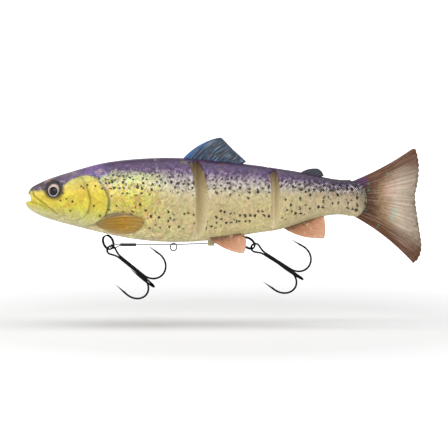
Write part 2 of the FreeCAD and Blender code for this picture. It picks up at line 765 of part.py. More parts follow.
def front_trace(seat):
    """Wire and sleeve from the front ring back to the front joint's axis."""
    angle = math.radians(FRONT_LOOP_TURN)
    loop = tube_along(end_loop(FRONT_SLEEVE_MOUTH, FRONT_SLEEVE_LENGTH, 1), TRACE_R)
    sleeve = Part.makeCylinder(SLEEVE_R, FRONT_SLEEVE_LENGTH,
                               V(FRONT_SLEEVE_MOUTH, 0, LOOP_R - LEG_GAP / 2), V(1, 0, 0))
    loop = moved(turned(loop, V(1, 0, 0), FRONT_LOOP_TURN), seat)
    sleeve = moved(turned(sleeve, V(1, 0, 0), FRONT_LOOP_TURN), seat)
    up = V(0, -math.sin(angle), math.cos(angle))
    leave = seat.add(V(FRONT_SLEEVE_MOUTH + FRONT_SLEEVE_LENGTH, 0, 0)).add(up * LOOP_R)
    end_x = FRONT_AXIS_X - CLEARANCE
    run = [leave, leave.add(V(LEAD_OUT, 0, 0)), V(TIE_RING_X, 0, trace_z(TIE_RING_X)),
           V(end_x, 0, trace_z(end_x))]
    wire = loop.fuse(tube_along(rounded(run), TRACE_R)).removeSplitter()
    return wire, sleeve.cut(wire)


def rear_trace(seat):
    """Wire and sleeve from the front joint's axis back to the rear ring."""
    angle = math.radians(REAR_LOOP_TURN)
    loop = tube_along(end_loop(REAR_SLEEVE_MOUTH, REAR_SLEEVE_LENGTH, -1), TRACE_R)
    sleeve = Part.makeCylinder(SLEEVE_R, REAR_SLEEVE_LENGTH,
                               V(REAR_SLEEVE_MOUTH, 0, LEG_GAP / 2 - LOOP_R), V(1, 0, 0))
    for axis, degrees in ((V(1, 0, 0), -REAR_LOOP_TURN), (V(0, 0, 1), 180)):
        loop = turned(loop, axis, degrees)
        sleeve = turned(sleeve, axis, degrees)
    loop = moved(loop, seat)
    sleeve = moved(sleeve, seat)
    down = V(0, math.sin(angle), -math.cos(angle))
    arrive = seat.sub(V(REAR_SLEEVE_MOUTH + REAR_SLEEVE_LENGTH, 0, 0)).add(down * LOOP_R)
    start_x = FRONT_AXIS_X + CLEARANCE
    keeper_z = trace_z(KEEPER_X)
    run = [V(start_x, 0, trace_z(start_x)), V(KEEPER_X, 0, keeper_z),
           V(KEEPER_X + KEEPER_LENGTH / 2, 0, keeper_z), arrive.sub(V(LEAD_IN, 0, 0)), arrive]
    wire = loop.fuse(tube_along(rounded(run), TRACE_R)).removeSplitter()
    return wire, sleeve.cut(wire)


def wire_keeper():
    bore_z = trace_z(KEEPER_X)
    x0 = KEEPER_X - KEEPER_LENGTH / 2
    height = KEEPER_DROP + KEEPER_ROOT
    stem = Part.makeBox(KEEPER_LENGTH, 2 * KEEPER_HALF, height, V(x0, -KEEPER_HALF, bore_z))
    foot = Part.makeCylinder(KEEPER_HALF, KEEPER_LENGTH, V(x0, 0, bore_z), V(1, 0, 0))
    bore = Part.makeCylinder(KEEPER_BORE_R, 2 * FAR, V(x0 - FAR, 0, bore_z), V(1, 0, 0))
    return stem.fuse(foot).cut(bore)


def tie_ring():
    ring = Part.makeTorus(TIE_RING_R, TIE_WIRE_R, V(0, 0, 0), V(0, 1, 0))
    drop = TIE_RING_R - TIE_WIRE_R - TRACE_R - TIE_RING_GAP
    centre = V(TIE_RING_X, 0, trace_z(TIE_RING_X) - drop)
    return moved(turned(ring, V(0, 0, 1), TIE_RING_TURN), centre)


# ---------------------------------------------------------------- assembly
def keel_weight(x, length, radius, cover):
    """A round-ended rod lying along the belly."""
    ends = [V(at, 0, belly_at(at) + cover + radius) for at in (x, x + length)]
    return round_bar(ends[0], ends[1], radius).fuse([Part.makeSphere(radius, end) for end in ends])


def mouth_cut():
    notch = Part.makeBox(FAR, 2 * FAR, MOUTH_TOP - MOUTH_FLOOR, V(-FAR, -FAR, MOUTH_FLOOR))
    above = Part.makeBox(FAR, 2 * FAR, FAR, V(SNOUT_X - FAR, -FAR, MOUTH_FLOOR))
    return notch.fuse(above)


def make_head(form):
    """The head section and what is moulded or bonded into it, by name."""
    block = form.cut(mouth_cut())
    head = block.common(front_of_joint(FRONT_AXIS_X, FRONT_NOTCH_BACK, FRONT_NOTCH_DEG))
    pieces = {
        "line_tube": line_tube(head),
        "mouth_grommet": mouth_grommet().common(head),
        "belly_grommet": belly_grommet(head),
        "head_keel_weight": keel_weight(HEAD_WEIGHT_X, HEAD_WEIGHT_LENGTH, HEAD_WEIGHT_R, HEAD_WEIGHT_COVER),
        "head_hinge_frame": head_frame(),
    }
    sockets = []
    for side, name in ((-1, "left"), (1, "right")):
        pieces[name + "_pectoral_fin"] = pectoral_fin(side)
        sockets.append(eye_socket(side))
    hollows = [line_bore(), knuckle_well(FRONT_AXIS_X, FRONT_AXIS_Z, FRONT_STACK)]
    for tool in hollows + sockets + list(pieces.values()):
        head = head.cut(tool)
    for side, name in ((-1, "left"), (1, "right")):
        pieces[name + "_eye_disc"] = eye_disc(side)
        pieces[name + "_eye_lens"] = eye_lens(side)
    pieces["front_hinge_pin"] = hinge_pin(FRONT_AXIS_X, FRONT_AXIS_Z, FRONT_STACK)
    pieces["head_section"] = head
    return pieces


def make_middle(form):
    middle = form.common(back_of_joint(FRONT_AXIS_X, FRONT_WEDGE_DEG, REAR_AXIS_X + FAR))
    middle = middle.common(front_of_joint(REAR_AXIS_X, REAR_NOTCH_BACK, REAR_NOTCH_DEG))
    pieces = {
        "middle_spine_frame": middle_frame(),
        "middle_keel_weight": keel_weight(MIDDLE_WEIGHT_X, MIDDLE_WEIGHT_LENGTH, MIDDLE_WEIGHT_R,
                                          MIDDLE_WEIGHT_COVER),
        "dorsal_fin": dorsal_fin(),
        "left_pelvic_fin": pelvic_fin(-1),
        "right_pelvic_fin": pelvic_fin(1),
        "wire_keeper": wire_keeper(),
    }
    hollows = [knuckle_well(FRONT_AXIS_X, FRONT_AXIS_Z, FRONT_STACK),
               knuckle_well(REAR_AXIS_X, REAR_AXIS_Z, REAR_STACK)]
    for tool in hollows + list(pieces.values()):
        middle = middle.cut(tool)
    pieces["rear_hinge_pin"] = hinge_pin(REAR_AXIS_X, REAR_AXIS_Z, REAR_STACK)
    pieces["middle_section"] = middle
    return pieces


def make_tail(form):
    tail = form.common(back_of_joint(REAR_AXIS_X, REAR_WEDGE_DEG, BODY_LENGTH + FAR))
    pieces = {
        "tail_hinge_frame": tail_frame(),
        "adipose_fin": adipose_fin(),
        "anal_fin": anal_fin(),
    }
    hollows = [knuckle_well(REAR_AXIS_X, REAR_AXIS_Z, REAR_STACK), tail_slot()]
    for tool in hollows + list(pieces.values()):
        tail = tail.cut(tool)
    pieces["tail_section"] = tail
    pieces["tail_fin"] = tail_fin()
    return pieces


def make_rig():
    """Both ends of the trace with their rings and hooks."""
    ends = (
        ("front", FRONT_RING_X, FRONT_RING_Y, FRONT_RING_HANG, FRONT_RING_LEAN, FRONT_RING_TILT,
         FRONT_LOOP_AT, FRONT_EYE_AT, FRONT_HOOK_DEG, front_trace),
        ("rear", REAR_RING_X, REAR_RING_Y, REAR_RING_HANG, REAR_RING_LEAN, REAR_RING_TILT,
         REAR_LOOP_AT, REAR_EYE_AT, REAR_HOOK_DEG, rear_trace),
    )
    pieces = {"tie_ring": tie_ring()}
    print("tie ring swings about %.4f %.4f" % (TIE_RING_X, trace_z(TIE_RING_X)))
    for name, x, y, hang, lean, tilt, loop_at, eye_at, pitch, trace in ends:
        axes = ring_axes(lean, tilt)
        centre = ring_centre(x, y, hang, axes)
        loop_seat = ring_point(centre, axes, loop_at)
        hook_seat = ring_point(centre, axes, eye_at)
        for label, point in (("trace loop", loop_seat), ("hook eye", hook_seat)):
            print("%s %s at %.4f %.4f %.4f" % (name, label, point.x, point.y, point.z))
        pieces[name + "_split_ring"] = split_ring(centre, axes)
        pieces[name + "_double_hook"] = place_hook(double_hook(), hook_seat, pitch)
        pieces[name + "_single_hook"] = place_hook(single_hook(), hook_seat, pitch)
        pieces[name + "_trace_wire"], pieces[name + "_crimp_sleeve"] = trace(loop_seat)
    return pieces


def main():
    form = body_form()
    for group in (make_head(form), make_middle(form), make_tail(form), make_rig()):
        for name, shape in group.items():
            save(name, shape)


main()
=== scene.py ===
# Jointed trout swimbait: soft body in three sections, fins, eyes and the hook rig.
# Sizes are in millimetres and are turned to metres with mm.
import json
import math
import bpy
import numpy as np
from mathutils import Matrix, Vector


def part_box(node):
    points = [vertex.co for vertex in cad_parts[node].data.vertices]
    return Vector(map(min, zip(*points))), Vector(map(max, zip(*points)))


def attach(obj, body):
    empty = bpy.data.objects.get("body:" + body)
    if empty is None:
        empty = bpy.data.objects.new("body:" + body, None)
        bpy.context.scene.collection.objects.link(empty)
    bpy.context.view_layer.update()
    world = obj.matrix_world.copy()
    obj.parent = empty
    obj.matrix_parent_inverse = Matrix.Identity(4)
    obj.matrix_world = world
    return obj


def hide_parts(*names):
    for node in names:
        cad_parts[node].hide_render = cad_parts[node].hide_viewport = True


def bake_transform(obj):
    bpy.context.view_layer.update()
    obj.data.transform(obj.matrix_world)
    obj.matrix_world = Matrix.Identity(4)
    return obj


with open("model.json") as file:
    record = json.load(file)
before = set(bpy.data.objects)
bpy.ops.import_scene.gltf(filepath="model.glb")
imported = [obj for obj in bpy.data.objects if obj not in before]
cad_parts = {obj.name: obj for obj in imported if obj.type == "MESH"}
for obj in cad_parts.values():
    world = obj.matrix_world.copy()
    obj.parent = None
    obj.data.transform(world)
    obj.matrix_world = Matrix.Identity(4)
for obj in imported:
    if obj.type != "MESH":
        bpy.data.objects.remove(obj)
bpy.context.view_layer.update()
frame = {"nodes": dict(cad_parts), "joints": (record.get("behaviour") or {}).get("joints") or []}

mm = 0.001
joints = {j["name"]: j for j in frame["joints"]}
frontAxisX = joints["front_body_joint"]["pos_m"][0] / mm
rearAxisX = joints["rear_body_joint"]["pos_m"][0] / mm
tailAxisX = joints["tail_fin_flex"]["pos_m"][0] / mm
print("frame loaded, joints at", round(frontAxisX, 1), round(rearAxisX, 1), round(tailAxisX, 1))


def deselectAll():
    if bpy.context.object and bpy.context.object.mode != "OBJECT":
        bpy.ops.object.mode_set(mode="OBJECT")
    bpy.ops.object.select_all(action="DESELECT")


def pick(piece):
    deselectAll()
    piece.select_set(True)
    bpy.context.view_layer.objects.active = piece


def newest(name):
    piece = bpy.context.object
    piece.name = name
    piece.data.name = name
    return piece


def copyOf(piece, name):
    other = piece.copy()
    other.data = piece.data.copy()
    other.name = name
    other.data.name = name
    bpy.context.scene.collection.objects.link(other)
    return other


def applied(piece, kind, **settings):
    pick(piece)
    modifier = piece.modifiers.new(kind.title(), kind)
    for key, value in settings.items():
        setattr(modifier, key, value)
    bpy.ops.object.modifier_apply(modifier=modifier.name)


def places(piece):
    flat = np.zeros(len(piece.data.vertices) * 3)
    piece.data.vertices.foreach_get("co", flat)
    return flat.reshape(-1, 3) / mm


def setPlaces(piece, points):
    piece.data.vertices.foreach_set("co", (points * mm).ravel())
    piece.data.update()


def settle(piece):
    pick(piece)
    bpy.ops.object.transform_apply(location=True, rotation=True, scale=True)


def faceOutward(piece):
    pick(piece)
    bpy.ops.object.mode_set(mode="EDIT")
    bpy.ops.mesh.select_all(action="SELECT")
    bpy.ops.mesh.normals_make_consistent(inside=False)
    bpy.ops.object.mode_set(mode="OBJECT")


def smoothStep(low, high, value):
    t = np.clip((value - low) / (high - low), 0, 1)
    return t * t * (3 - 2 * t)


def ridge(distance, height, at, width):
    return height * np.exp(-((distance - at) / width) ** 2)


def curveThrough(points, count):
    # Catmull-Rom through the points, evenly spread by length
    p = np.array(points, float)
    p = np.vstack([2 * p[0] - p[1], p, 2 * p[-1] - p[-2]])
    t = np.linspace(0, 1, 12, endpoint=False)[:, None]
    dense = []
    for a, b, c, d in zip(p, p[1:], p[2:], p[3:]):
        dense.append(0.5 * (2 * b + (c - a) * t + (2 * a - 5 * b + 4 * c - d) * t ** 2
                            + (3 * b - a - 3 * c + d) * t ** 3))
    dense = np.vstack(dense + [p[-2:-1]])
    length = np.concatenate([[0], np.cumsum(np.linalg.norm(np.diff(dense, axis=0), axis=1))])
    want = np.linspace(0, length[-1], count)
    return np.stack([np.interp(want, length, dense[:, i]) for i in range(dense.shape[1])], axis=1)


def floatLayer(piece, name, values):
    layer = piece.data.attributes.new(name, "FLOAT", "POINT")
    layer.data.foreach_set("value", np.asarray(values, np.float32))


def hexColour(text):
    value = [int(text[i:i + 2], 16) / 255 for i in (1, 3, 5)]
    return tuple(v / 12.92 if v <= 0.04045 else ((v + 0.055) / 1.055) ** 2.4 for v in value) + (1.0,)


def joinUp(tree, node, links):
    # each socket's source is a node or (node, output)
    for key, source in links.items():
        start, output = source if isinstance(source, tuple) else (source, 0)
        tree.links.new(start.outputs[output], node.inputs[key])


def addNode(tree, kind, settings=None, links=None):
    # settings: sockets by number, ramp stops, other attributes by name
    made = tree.nodes.new("ShaderNode" + kind)
    for key, value in (settings or {}).items():
        if key == "stops":
            elements = made.color_ramp.elements
            elements.remove(elements[-1])
            for i, (place, tone) in enumerate(value):
                element = elements[0] if i == 0 else elements.new(place)
                element.position = place
                element.color = hexColour(tone) if isinstance(tone, str) else (tone, tone, tone, 1)
        elif isinstance(key, int):
            made.inputs[key].default_value = value
        else:
            setattr(made, key, value)
    joinUp(tree, made, links or {})
    return made


def newMaterial(name, **sockets):
    material = bpy.data.materials.new(name)
    material.use_nodes = True
    shader = material.node_tree.nodes["Principled BSDF"]
    for key, value in sockets.items():
        shader.inputs[key.replace("_", " ")].default_value = value
    return material, material.node_tree, shader


bodyForm = {
    # along, back, belly, half width
    "stations": [
        (-3.1, -3.3, -4.7, 1.6), (-2.3, 0.6, -5.9, 3.0), (-0.9, 5.6, -7.4, 4.4), (1.6, 7.4, -9.3, 5.8),
        (5.4, 9.3, -11.2, 7.8), (9.2, 11.2, -12.9, 9.3), (14.9, 13.2, -14.6, 11.2), (20.6, 15.1, -16.2, 12.7),
        (28.1, 17.3, -18.2, 14.2), (35.7, 19.6, -20.1, 15.3), (43.3, 21.7, -22.0, 16.1), (54.7, 23.6, -24.5, 16.8),
        (66.1, 24.7, -26.5, 17.2), (77.5, 25.3, -27.8, 17.4), (88.9, 25.6, -28.3, 17.3), (100.2, 25.0, -28.2, 16.9),
        (111.6, 23.9, -27.4, 16.2), (123.0, 22.8, -25.9, 15.2), (134.4, 21.6, -23.8, 13.9), (145.8, 20.2, -21.9, 12.5),
        (157.2, 18.3, -20.8, 11.0), (168.6, 16.7, -16.5, 9.2), (179.9, 14.1, -12.7, 7.4), (191.3, 11.7, -10.6, 5.7),
        (198.9, 11.1, -10.9, 4.8), (205.5, 12.0, -13.2, 3.9), (213.8, 12.4, -14.6, 3.2)],
    "ringPoints": 32,
    "backPower": 1.9,
    "bellyPower": 2.3,
    "smoothing": 2,
    "voxel": 0.5,
}


def formAt(x):
    rows = np.array(bodyForm["stations"])
    return [np.interp(x, rows[:, 0], rows[:, i]) for i in (1, 2, 3)]


def skinY(x, z):
    back, belly, half = formAt(x)
    middle = (back + belly) / 2
    power = np.where(z > middle, bodyForm["backPower"], bodyForm["bellyPower"])
    share = np.clip(np.abs(z - middle) / ((back - belly) / 2), 0, 1)
    return half * (1 - share ** power) ** (1 / power)


def makeForm():
    # one ring at the jaw tip, extruded from station to station
    rows = bodyForm["stations"]
    deselectAll()
    bpy.ops.mesh.primitive_circle_add(vertices=bodyForm["ringPoints"], radius=1)
    piece = newest("fishForm")
    ring = places(piece) * mm
    c, s = ring[:, 0], ring[:, 1]
    power = 2 / np.where(s > 0, bodyForm["backPower"], bodyForm["bellyPower"])
    x, back, belly, half = rows[0]
    y = half * np.sign(c) * np.abs(c) ** power
    z = (back + belly) / 2 + (back - belly) / 2 * np.sign(s) * np.abs(s) ** power
    setPlaces(piece, np.stack([np.full(len(c), x), y, z], axis=1))
    pick(piece)
    bpy.ops.object.mode_set(mode="EDIT")
    bpy.ops.mesh.select_all(action="SELECT")
    for a, b in zip(rows, rows[1:]):
        middleA, middleB = (a[1] + a[2]) / 2, (b[1] + b[2]) / 2
        step = ((b[0] - a[0]) * mm, 0, (middleB - middleA) * mm)
        bpy.ops.mesh.extrude_region_move(TRANSFORM_OT_translate={"value": step})
        bpy.ops.transform.resize(value=(1, b[3] / a[3], (b[1] - b[2]) / (a[1] - a[2])),
                                 center_override=(b[0] * mm, 0, middleB * mm))
    bpy.ops.mesh.select_all(action="SELECT")
    bpy.ops.mesh.fill_holes(sides=0)
    faceOutward(piece)
    applied(piece, "SUBSURF", levels=bodyForm["smoothing"], render_levels=bodyForm["smoothing"])
    return piece


def prism(plan, low, high):
    # an upright cutter: a flat polygon with its corners moved to the plan, then extruded
    deselectAll()
    bpy.ops.mesh.primitive_circle_add(vertices=len(plan), radius=1, fill_type="NGON")
    cutter = newest("cutter")
    setPlaces(cutter, np.array([(x, y, low) for x, y in plan], dtype=float))
    pick(cutter)
    bpy.ops.object.mode_set(mode="EDIT")
    bpy.ops.mesh.select_all(action="SELECT")
    bpy.ops.mesh.extrude_region_move(TRANSFORM_OT_translate={"value": (0, 0, (high - low) * mm)})
    faceOutward(cutter)
    return cutter


def rod(centre, direction, radius, length, sides=64):
    deselectAll()
    bpy.ops.mesh.primitive_cylinder_add(vertices=sides, radius=radius * mm, depth=length * mm)
    cutter = newest("cutter")
    turn = Vector(direction).to_track_quat("Z", "Y").to_matrix().to_4x4()
    cutter.matrix_world = Matrix.Translation(Vector(centre) * mm) @ turn
    settle(cutter)
    return cutter


def carve(piece, cutter, operation="DIFFERENCE"):
    applied(piece, "BOOLEAN", operation=operation, solver="EXACT", object=cutter)
    bpy.data.objects.remove(cutter)


jointCuts = {
    "gap": 0.4,
    "tongueHalf": 5.0,
    "columnRadius": 2.9,
    "grooveRadius": 3.1,
    "columnLength": 120.0,
    "grooveLength": 130.0,
    "front": {"notchBack": 6.5, "notchDeg": 27.0, "wedgeDeg": 30.0},
    "rear": {"notchBack": 4.0, "notchDeg": 17.7, "wedgeDeg": 24.3},
    "far": 60.0,       # cutters reach this far from the axis
    "end": 300.0,
}


def notchPlan(axisX, cut):
    far, half, slope = jointCuts["far"], jointCuts["tongueHalf"], math.tan(math.radians(cut["notchDeg"]))
    root, nose = axisX - cut["notchBack"], axisX - jointCuts["gap"]
    side, wing = root + slope * half, root + slope * far
    return [(-far, -far), (wing, -far), (side, -half), (nose, -half), (nose, half), (side, half),
            (wing, far), (-far, far)]


def wedgePlan(axisX, cut):
    far, slope = jointCuts["far"], math.tan(math.radians(cut["wedgeDeg"]))
    point, end = axisX + jointCuts["gap"], jointCuts["end"]
    return [(point, 0), (point + slope * far, far), (end, far), (end, -far), (point + slope * far, -far)]


def cutWedge(piece, axisX, cut):
    # keep what lies behind the joint, with a round column on its axis
    wedge = prism(wedgePlan(axisX, cut), -jointCuts["far"], jointCuts["far"])
    carve(wedge, rod((axisX, 0, 0), (0, 0, 1), jointCuts["columnRadius"], jointCuts["columnLength"]), "UNION")
    carve(piece, wedge, "INTERSECT")


def cutNotch(piece, axisX, cut):
    # keep what lies ahead of the joint, with a groove for the column
    carve(piece, prism(notchPlan(axisX, cut), -jointCuts["far"], jointCuts["far"]), "INTERSECT")
    carve(piece, rod((axisX, 0, 0), (0, 0, 1), jointCuts["grooveRadius"], jointCuts["grooveLength"]))


def soften(piece):
    applied(piece, "REMESH", mode="VOXEL", voxel_size=bodyForm["voxel"] * mm)
    applied(piece, "SMOOTH", factor=0.5, iterations=3)


headRelief = {
    "gillEdge": [(41.0, 13.6), (44.1, 10.0), (47.1, 5.4), (48.9, 1.8), (49.5, -2.1), (48.5, -6.6), (46.4, -11.3),
                 (41.5, -15.2), (35.0, -17.6)],
    "gillLift": 1.0,
    "gillSwell": 5.0,
    "gillCrease": (0.3, 1.0, 0.8),      # depth or height, place behind the line, width
    "gillTop": (17.0, 11.5),
    "gillFoot": (-19.5, -15.5),
    "cheekEdge": [(30.6, 14.6), (35.3, 7.9), (37.4, 1.8), (37.9, -1.4), (36.8, -6.6), (34.6, -10.3), (31.0, -12.4),
                  (27.5, -13.2), (23.0, -12.8)],
    "cheekLift": 0.75,
    "cheekSwell": 4.0,
    "cheekCrease": (0.25, 0.9, 0.6),
    "cheekTop": (17.0, 12.5),
    "cheekFront": (24.0, 29.0),
    "mouthLine": [(1.5, 4.0), (2.1, 2.2), (3.2, 0.7), (4.8, -0.3), (8.1, -2.7), (11.4, -5.3), (14.9, -7.9),
                  (17.5, -9.9)],
    "mouthGroove": (1.0, 0.0, 0.55),
    "lip": (0.45, 1.3, 0.8),
    "lipEnd": (19.0, 15.0),
    "jawLine": [(0.1, -2.4), (3.3, -3.1), (7.2, -4.4), (9.7, -6.0), (12.3, -7.9)],
    "jawGroove": (0.6, 0.0, 0.5),
    "cheekFold": [(15.9, -2.1), (19.4, -5.3), (21.4, -8.6), (20.7, -10.6), (18.4, -11.6)],
    "foldLift": 0.45,
    "foldSwell": 2.0,
    "eyeCentre": (15.2, 5.5),
    "eyeRadius": 4.9,
    "eyeTurn": (12.0, 16.0),            # degrees forward and up
    "socket": (0.15, 4.6, 10.6),        # gap round the eye, outward shift and length of its cutter
    "rim": (0.55, 0.9, 0.8),
    "nostril": (6.2, 6.0),
    "nostrilPit": (0.7, 0.0, 0.6),
    "nostrilLong": 1.2,
    "mouthTop": 2.1,
    "mouthFloor": -2.3,
    "mouthCut": (-9.8, 20.0, 60.0),     # middle, length and width of its cutter
    "sides": (1.5, 4.5),                # the relief fades out between these distances from the centre plane
    "rear": 62.0,
}


def signedDistance(x, z, points):
    # distance to a curve in side view, positive behind it
    curve = curveThrough(points, 160)
    d2 = (x[:, None] - curve[None, :, 0]) ** 2 + (z[:, None] - curve[None, :, 1]) ** 2
    near = d2.argmin(axis=1)
    along = np.gradient(curve, axis=0)[near]
    across = np.stack([x, z], axis=1) - curve[near]
    sign = np.sign(along[:, 0] * across[:, 1] - along[:, 1] * across[:, 0])
    ends = (near == 0) | (near == len(curve) - 1)
    return np.sqrt(d2.min(axis=1)) * sign, ends


def lipLift(distance, height, reach):
    # a plate that swells towards its edge and drops off sharply behind it
    front = np.exp(np.minimum(distance, 0) / reach)
    return height * np.where(distance < 0, front, 1 - smoothStep(0.0, 0.9, distance))


def sculptHead(piece):
    points = places(piece)
    normals = np.zeros(len(points) * 3)
    piece.data.vertices.foreach_get("normal", normals)
    normals = normals.reshape(-1, 3)
    x, y, z = points.T
    front = x < headRelief["rear"]
    lift = np.zeros(len(points))
    xf, zf = x[front], z[front]
    side = smoothStep(*headRelief["sides"], np.abs(y[front]))
    distance, ends = signedDistance(xf, zf, headRelief["gillEdge"])
    fade = smoothStep(*headRelief["gillTop"], zf) * smoothStep(*headRelief["gillFoot"], zf)
    value = -fade * ridge(distance, *headRelief["gillCrease"])
    value += lipLift(distance, headRelief["gillLift"], headRelief["gillSwell"]) * fade * ~ends
    distance, ends = signedDistance(xf, zf, headRelief["cheekEdge"])
    fade = smoothStep(*headRelief["cheekTop"], zf)
    fade = fade * smoothStep(*headRelief["cheekFront"], xf + np.maximum(zf, 0) * 0.4)
    value += lipLift(distance, headRelief["cheekLift"], headRelief["cheekSwell"]) * fade * ~ends
    value -= fade * ridge(distance, *headRelief["cheekCrease"])
    distance, _ = signedDistance(xf, zf, headRelief["mouthLine"])
    value -= ridge(distance, *headRelief["mouthGroove"])
    value += ridge(np.abs(distance), *headRelief["lip"]) * smoothStep(*headRelief["lipEnd"], xf)
    distance, _ = signedDistance(xf, zf, headRelief["jawLine"])
    value -= ridge(distance, *headRelief["jawGroove"])
    distance, ends = signedDistance(xf, zf, headRelief["cheekFold"])
    value += lipLift(distance, headRelief["foldLift"], headRelief["foldSwell"]) * ~ends
    eyeX, eyeZ = headRelief["eyeCentre"]
    value += ridge(np.hypot(xf - eyeX, zf - eyeZ) - headRelief["eyeRadius"], *headRelief["rim"])
    noseX, noseZ = headRelief["nostril"]
    value -= ridge(np.hypot((xf - noseX) / headRelief["nostrilLong"], zf - noseZ), *headRelief["nostrilPit"])
    lift[front] = value * side
    setPlaces(piece, points + normals * lift[:, None])


def markSkin(piece):
    # layers that the paint follows: height, place round the girth, cut faces, head plates
    points = places(piece)
    x, y, z = points.T
    back, belly, half = formAt(x)
    middle = (back + belly) / 2
    high = (back - belly) / 2
    angle = np.arctan2((z - middle) / high, np.abs(y) / half)
    power = np.where(z > middle, bodyForm["backPower"], bodyForm["bellyPower"])
    fill = (np.abs(y / half) ** power + np.abs((z - middle) / high) ** power) ** (1 / power)
    depth = (1 - fill) * np.minimum(half, high)
    floatLayer(piece, "rise", np.clip((z - belly) / (back - belly), 0, 1))
    floatLayer(piece, "along", x)
    floatLayer(piece, "girth", angle * (half + high) / 2 + np.where(y > 0, 300.0, 0.0))
    under = np.where(x < headRelief["rear"], *skinMarks["cutUnder"])
    floatLayer(piece, "cut", smoothStep(under, under + skinMarks["cutFade"], depth) * (x > skinMarks["cutFrom"]))
    gill, cheek, mouth, jaw, fold = [signedDistance(x, z, headRelief[line])[0] for line in
                                     ("gillEdge", "cheekEdge", "mouthLine", "jawLine", "cheekFold")]
    inHead = np.where(x < skinMarks["headEnd"], smoothStep(0.6, -0.6, gill), 0.0)
    low = smoothStep(-11.5, -7.0, z)
    # painted shade: darker along the gill, cheek, mouth, jaw and fold lines, in the creases and grooves of the head
    seamShade = np.maximum.reduce([
        ridge(gill, *skinMarks["gillSeam"]) * smoothStep(18.5, 14.0, np.abs(z + 1.5)),
        ridge(cheek, *skinMarks["cheekSeam"]) * smoothStep(16.5, 13.0, np.abs(z)) * (0.25 + 0.75 * low),
        ridge(mouth, *skinMarks["mouthSeam"]) * smoothStep(4.2, 2.4, z),
        ridge(jaw, *skinMarks["jawSeam"]),
        ridge(fold, *skinMarks["foldSeam"])])
    floatLayer(piece, "seamShade", np.where(x < skinMarks["seamEnd"], seamShade, 0.0))
    # the crown is sprayed dark down to a line over the cheeks, the eye has a smoky ring
    crown = np.where(x < 60, smoothStep(-0.7, 1.3, z - np.interp(x, *np.array(skinMarks["crownLine"]).T)), 0.0)
    floatLayer(piece, "crown", crown * smoothStep(*skinMarks["crownEnd"], x))
    floatLayer(piece, "headPlate", inHead * (1 - crown))
    eyeX, eyeZ = headRelief["eyeCentre"]
    ring = np.hypot(x - eyeX, (z - eyeZ) * 1.05)
    smoke = skinMarks["smoke"] * smoothStep(skinMarks["smokeReach"], headRelief["eyeRadius"], ring)
    nose = skinMarks["noseSmoke"] * smoothStep(0.9, -1.4, x) * smoothStep(1.0, 2.8, z)
    tip = skinMarks["tipSmoke"] * smoothStep(-1.9, -3.1, x)
    end = skinMarks["tailSmoke"] * smoothStep(203.0, 212.0, x)
    floatLayer(piece, "smoke", np.where(x < 30, np.maximum.reduce([smoke, nose, tip]), end))
    dots = np.zeros(len(x))
    for dotX, dotZ, radius in skinMarks["dots"]:
        dots = np.maximum(dots, smoothStep(radius + 0.35, radius - 0.25, np.hypot(x - dotX, z - dotZ)))
    floatLayer(piece, "dots", dots * (inHead > 0))


skinMarks = {
    "crownLine": [(-4.0, 4.2), (4.0, 4.5), (9.0, 4.6), (13.0, 5.2), (20.0, 6.6), (22.0, 8.2), (24.0, 10.6),
                  (28.0, 12.5), (32.0, 14.0), (36.0, 14.5), (40.4, 13.6), (44.0, 12.6), (60.0, 15.0)],
    "crownEnd": (52.0, 42.0),
    "headEnd": 52.0,
    "cutUnder": (1.1, 0.5),             # how deep the raw plastic starts, on the head and behind it
    "cutFade": 0.6,
    "cutFrom": 2.0,
    # painted shade along the head's creases: strength, place behind the line, width
    "gillSeam": (0.7, 0.6, 0.8),
    "cheekSeam": (0.6, 0.5, 0.8),
    "mouthSeam": (0.72, 0.0, 0.42),
    "jawSeam": (0.4, 0.0, 0.45),
    "foldSeam": (0.2, 0.3, 0.7),
    "seamEnd": 55.0,
    "smoke": 0.88,
    "smokeReach": 7.8,
    "noseSmoke": 0.65,
    "tipSmoke": 0.55,
    "tailSmoke": 0.5,
    # spots sprayed by hand on the cheeks: along, height, radius
    "dots": [(20.9, 3.6, 0.5), (23.2, 0.0, 0.55), (19.5, -1.0, 0.6), (27.1, -1.6, 0.75), (25.7, -7.4, 0.6),
             (32.6, 7.9, 0.6), (34.0, 6.9, 0.6), (36.4, 8.8, 0.65), (41.5, 8.2, 0.65), (45.8, 6.6, 0.65),
             (40.6, -4.2, 0.6), (44.3, -10.5, 0.7)],
}


print("modelling the body")
fishForm = makeForm()


def makeHead():
    piece = copyOf(fishForm, "headSkin")
    top, floor = headRelief["mouthTop"], headRelief["mouthFloor"]
    middle, length, width = headRelief["mouthCut"]
    cutNotch(piece, frontAxisX, jointCuts["front"])
    deselectAll()
    bpy.ops.mesh.primitive_cube_add(size=1, location=(middle * mm, 0, (top + floor) / 2 * mm),
                                    scale=(length * mm, width * mm, (top - floor) * mm))
    notch = newest("cutter")
    settle(notch)
    carve(piece, notch)
    gap, shift, length = headRelief["socket"]
    for name in ("left_eye_disc", "right_eye_disc"):
        low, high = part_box(name)
        outward = eyeDirection(name)
        carve(piece, rod((low + high) / 2 / mm + outward * shift, outward, headRelief["eyeRadius"] + gap, length))
    soften(piece)
    sculptHead(piece)
    markSkin(piece)
    return piece


def eyeDirection(name):
    side = -1 if name.startswith("left") else 1
    forward, up = [math.radians(turn) for turn in headRelief["eyeTurn"]]
    return Vector((-math.sin(forward) * math.cos(up), side * math.cos(forward) * math.cos(up), math.sin(up)))


def makeMiddle():
    piece = copyOf(fishForm, "middleSkin")
    cutWedge(piece, frontAxisX, jointCuts["front"])
    cutNotch(piece, rearAxisX, jointCuts["rear"])
    soften(piece)
    markSkin(piece)
    return piece


tailEnd = {"radius": 14.4, "x": 212.7, "front": 80.0, "slotStart": 202.0, "slotHalf": 1.35, "slotDeg": 7.0,
           "slotRun": 10.0, "deep": 50.0, "wide": 40.0}


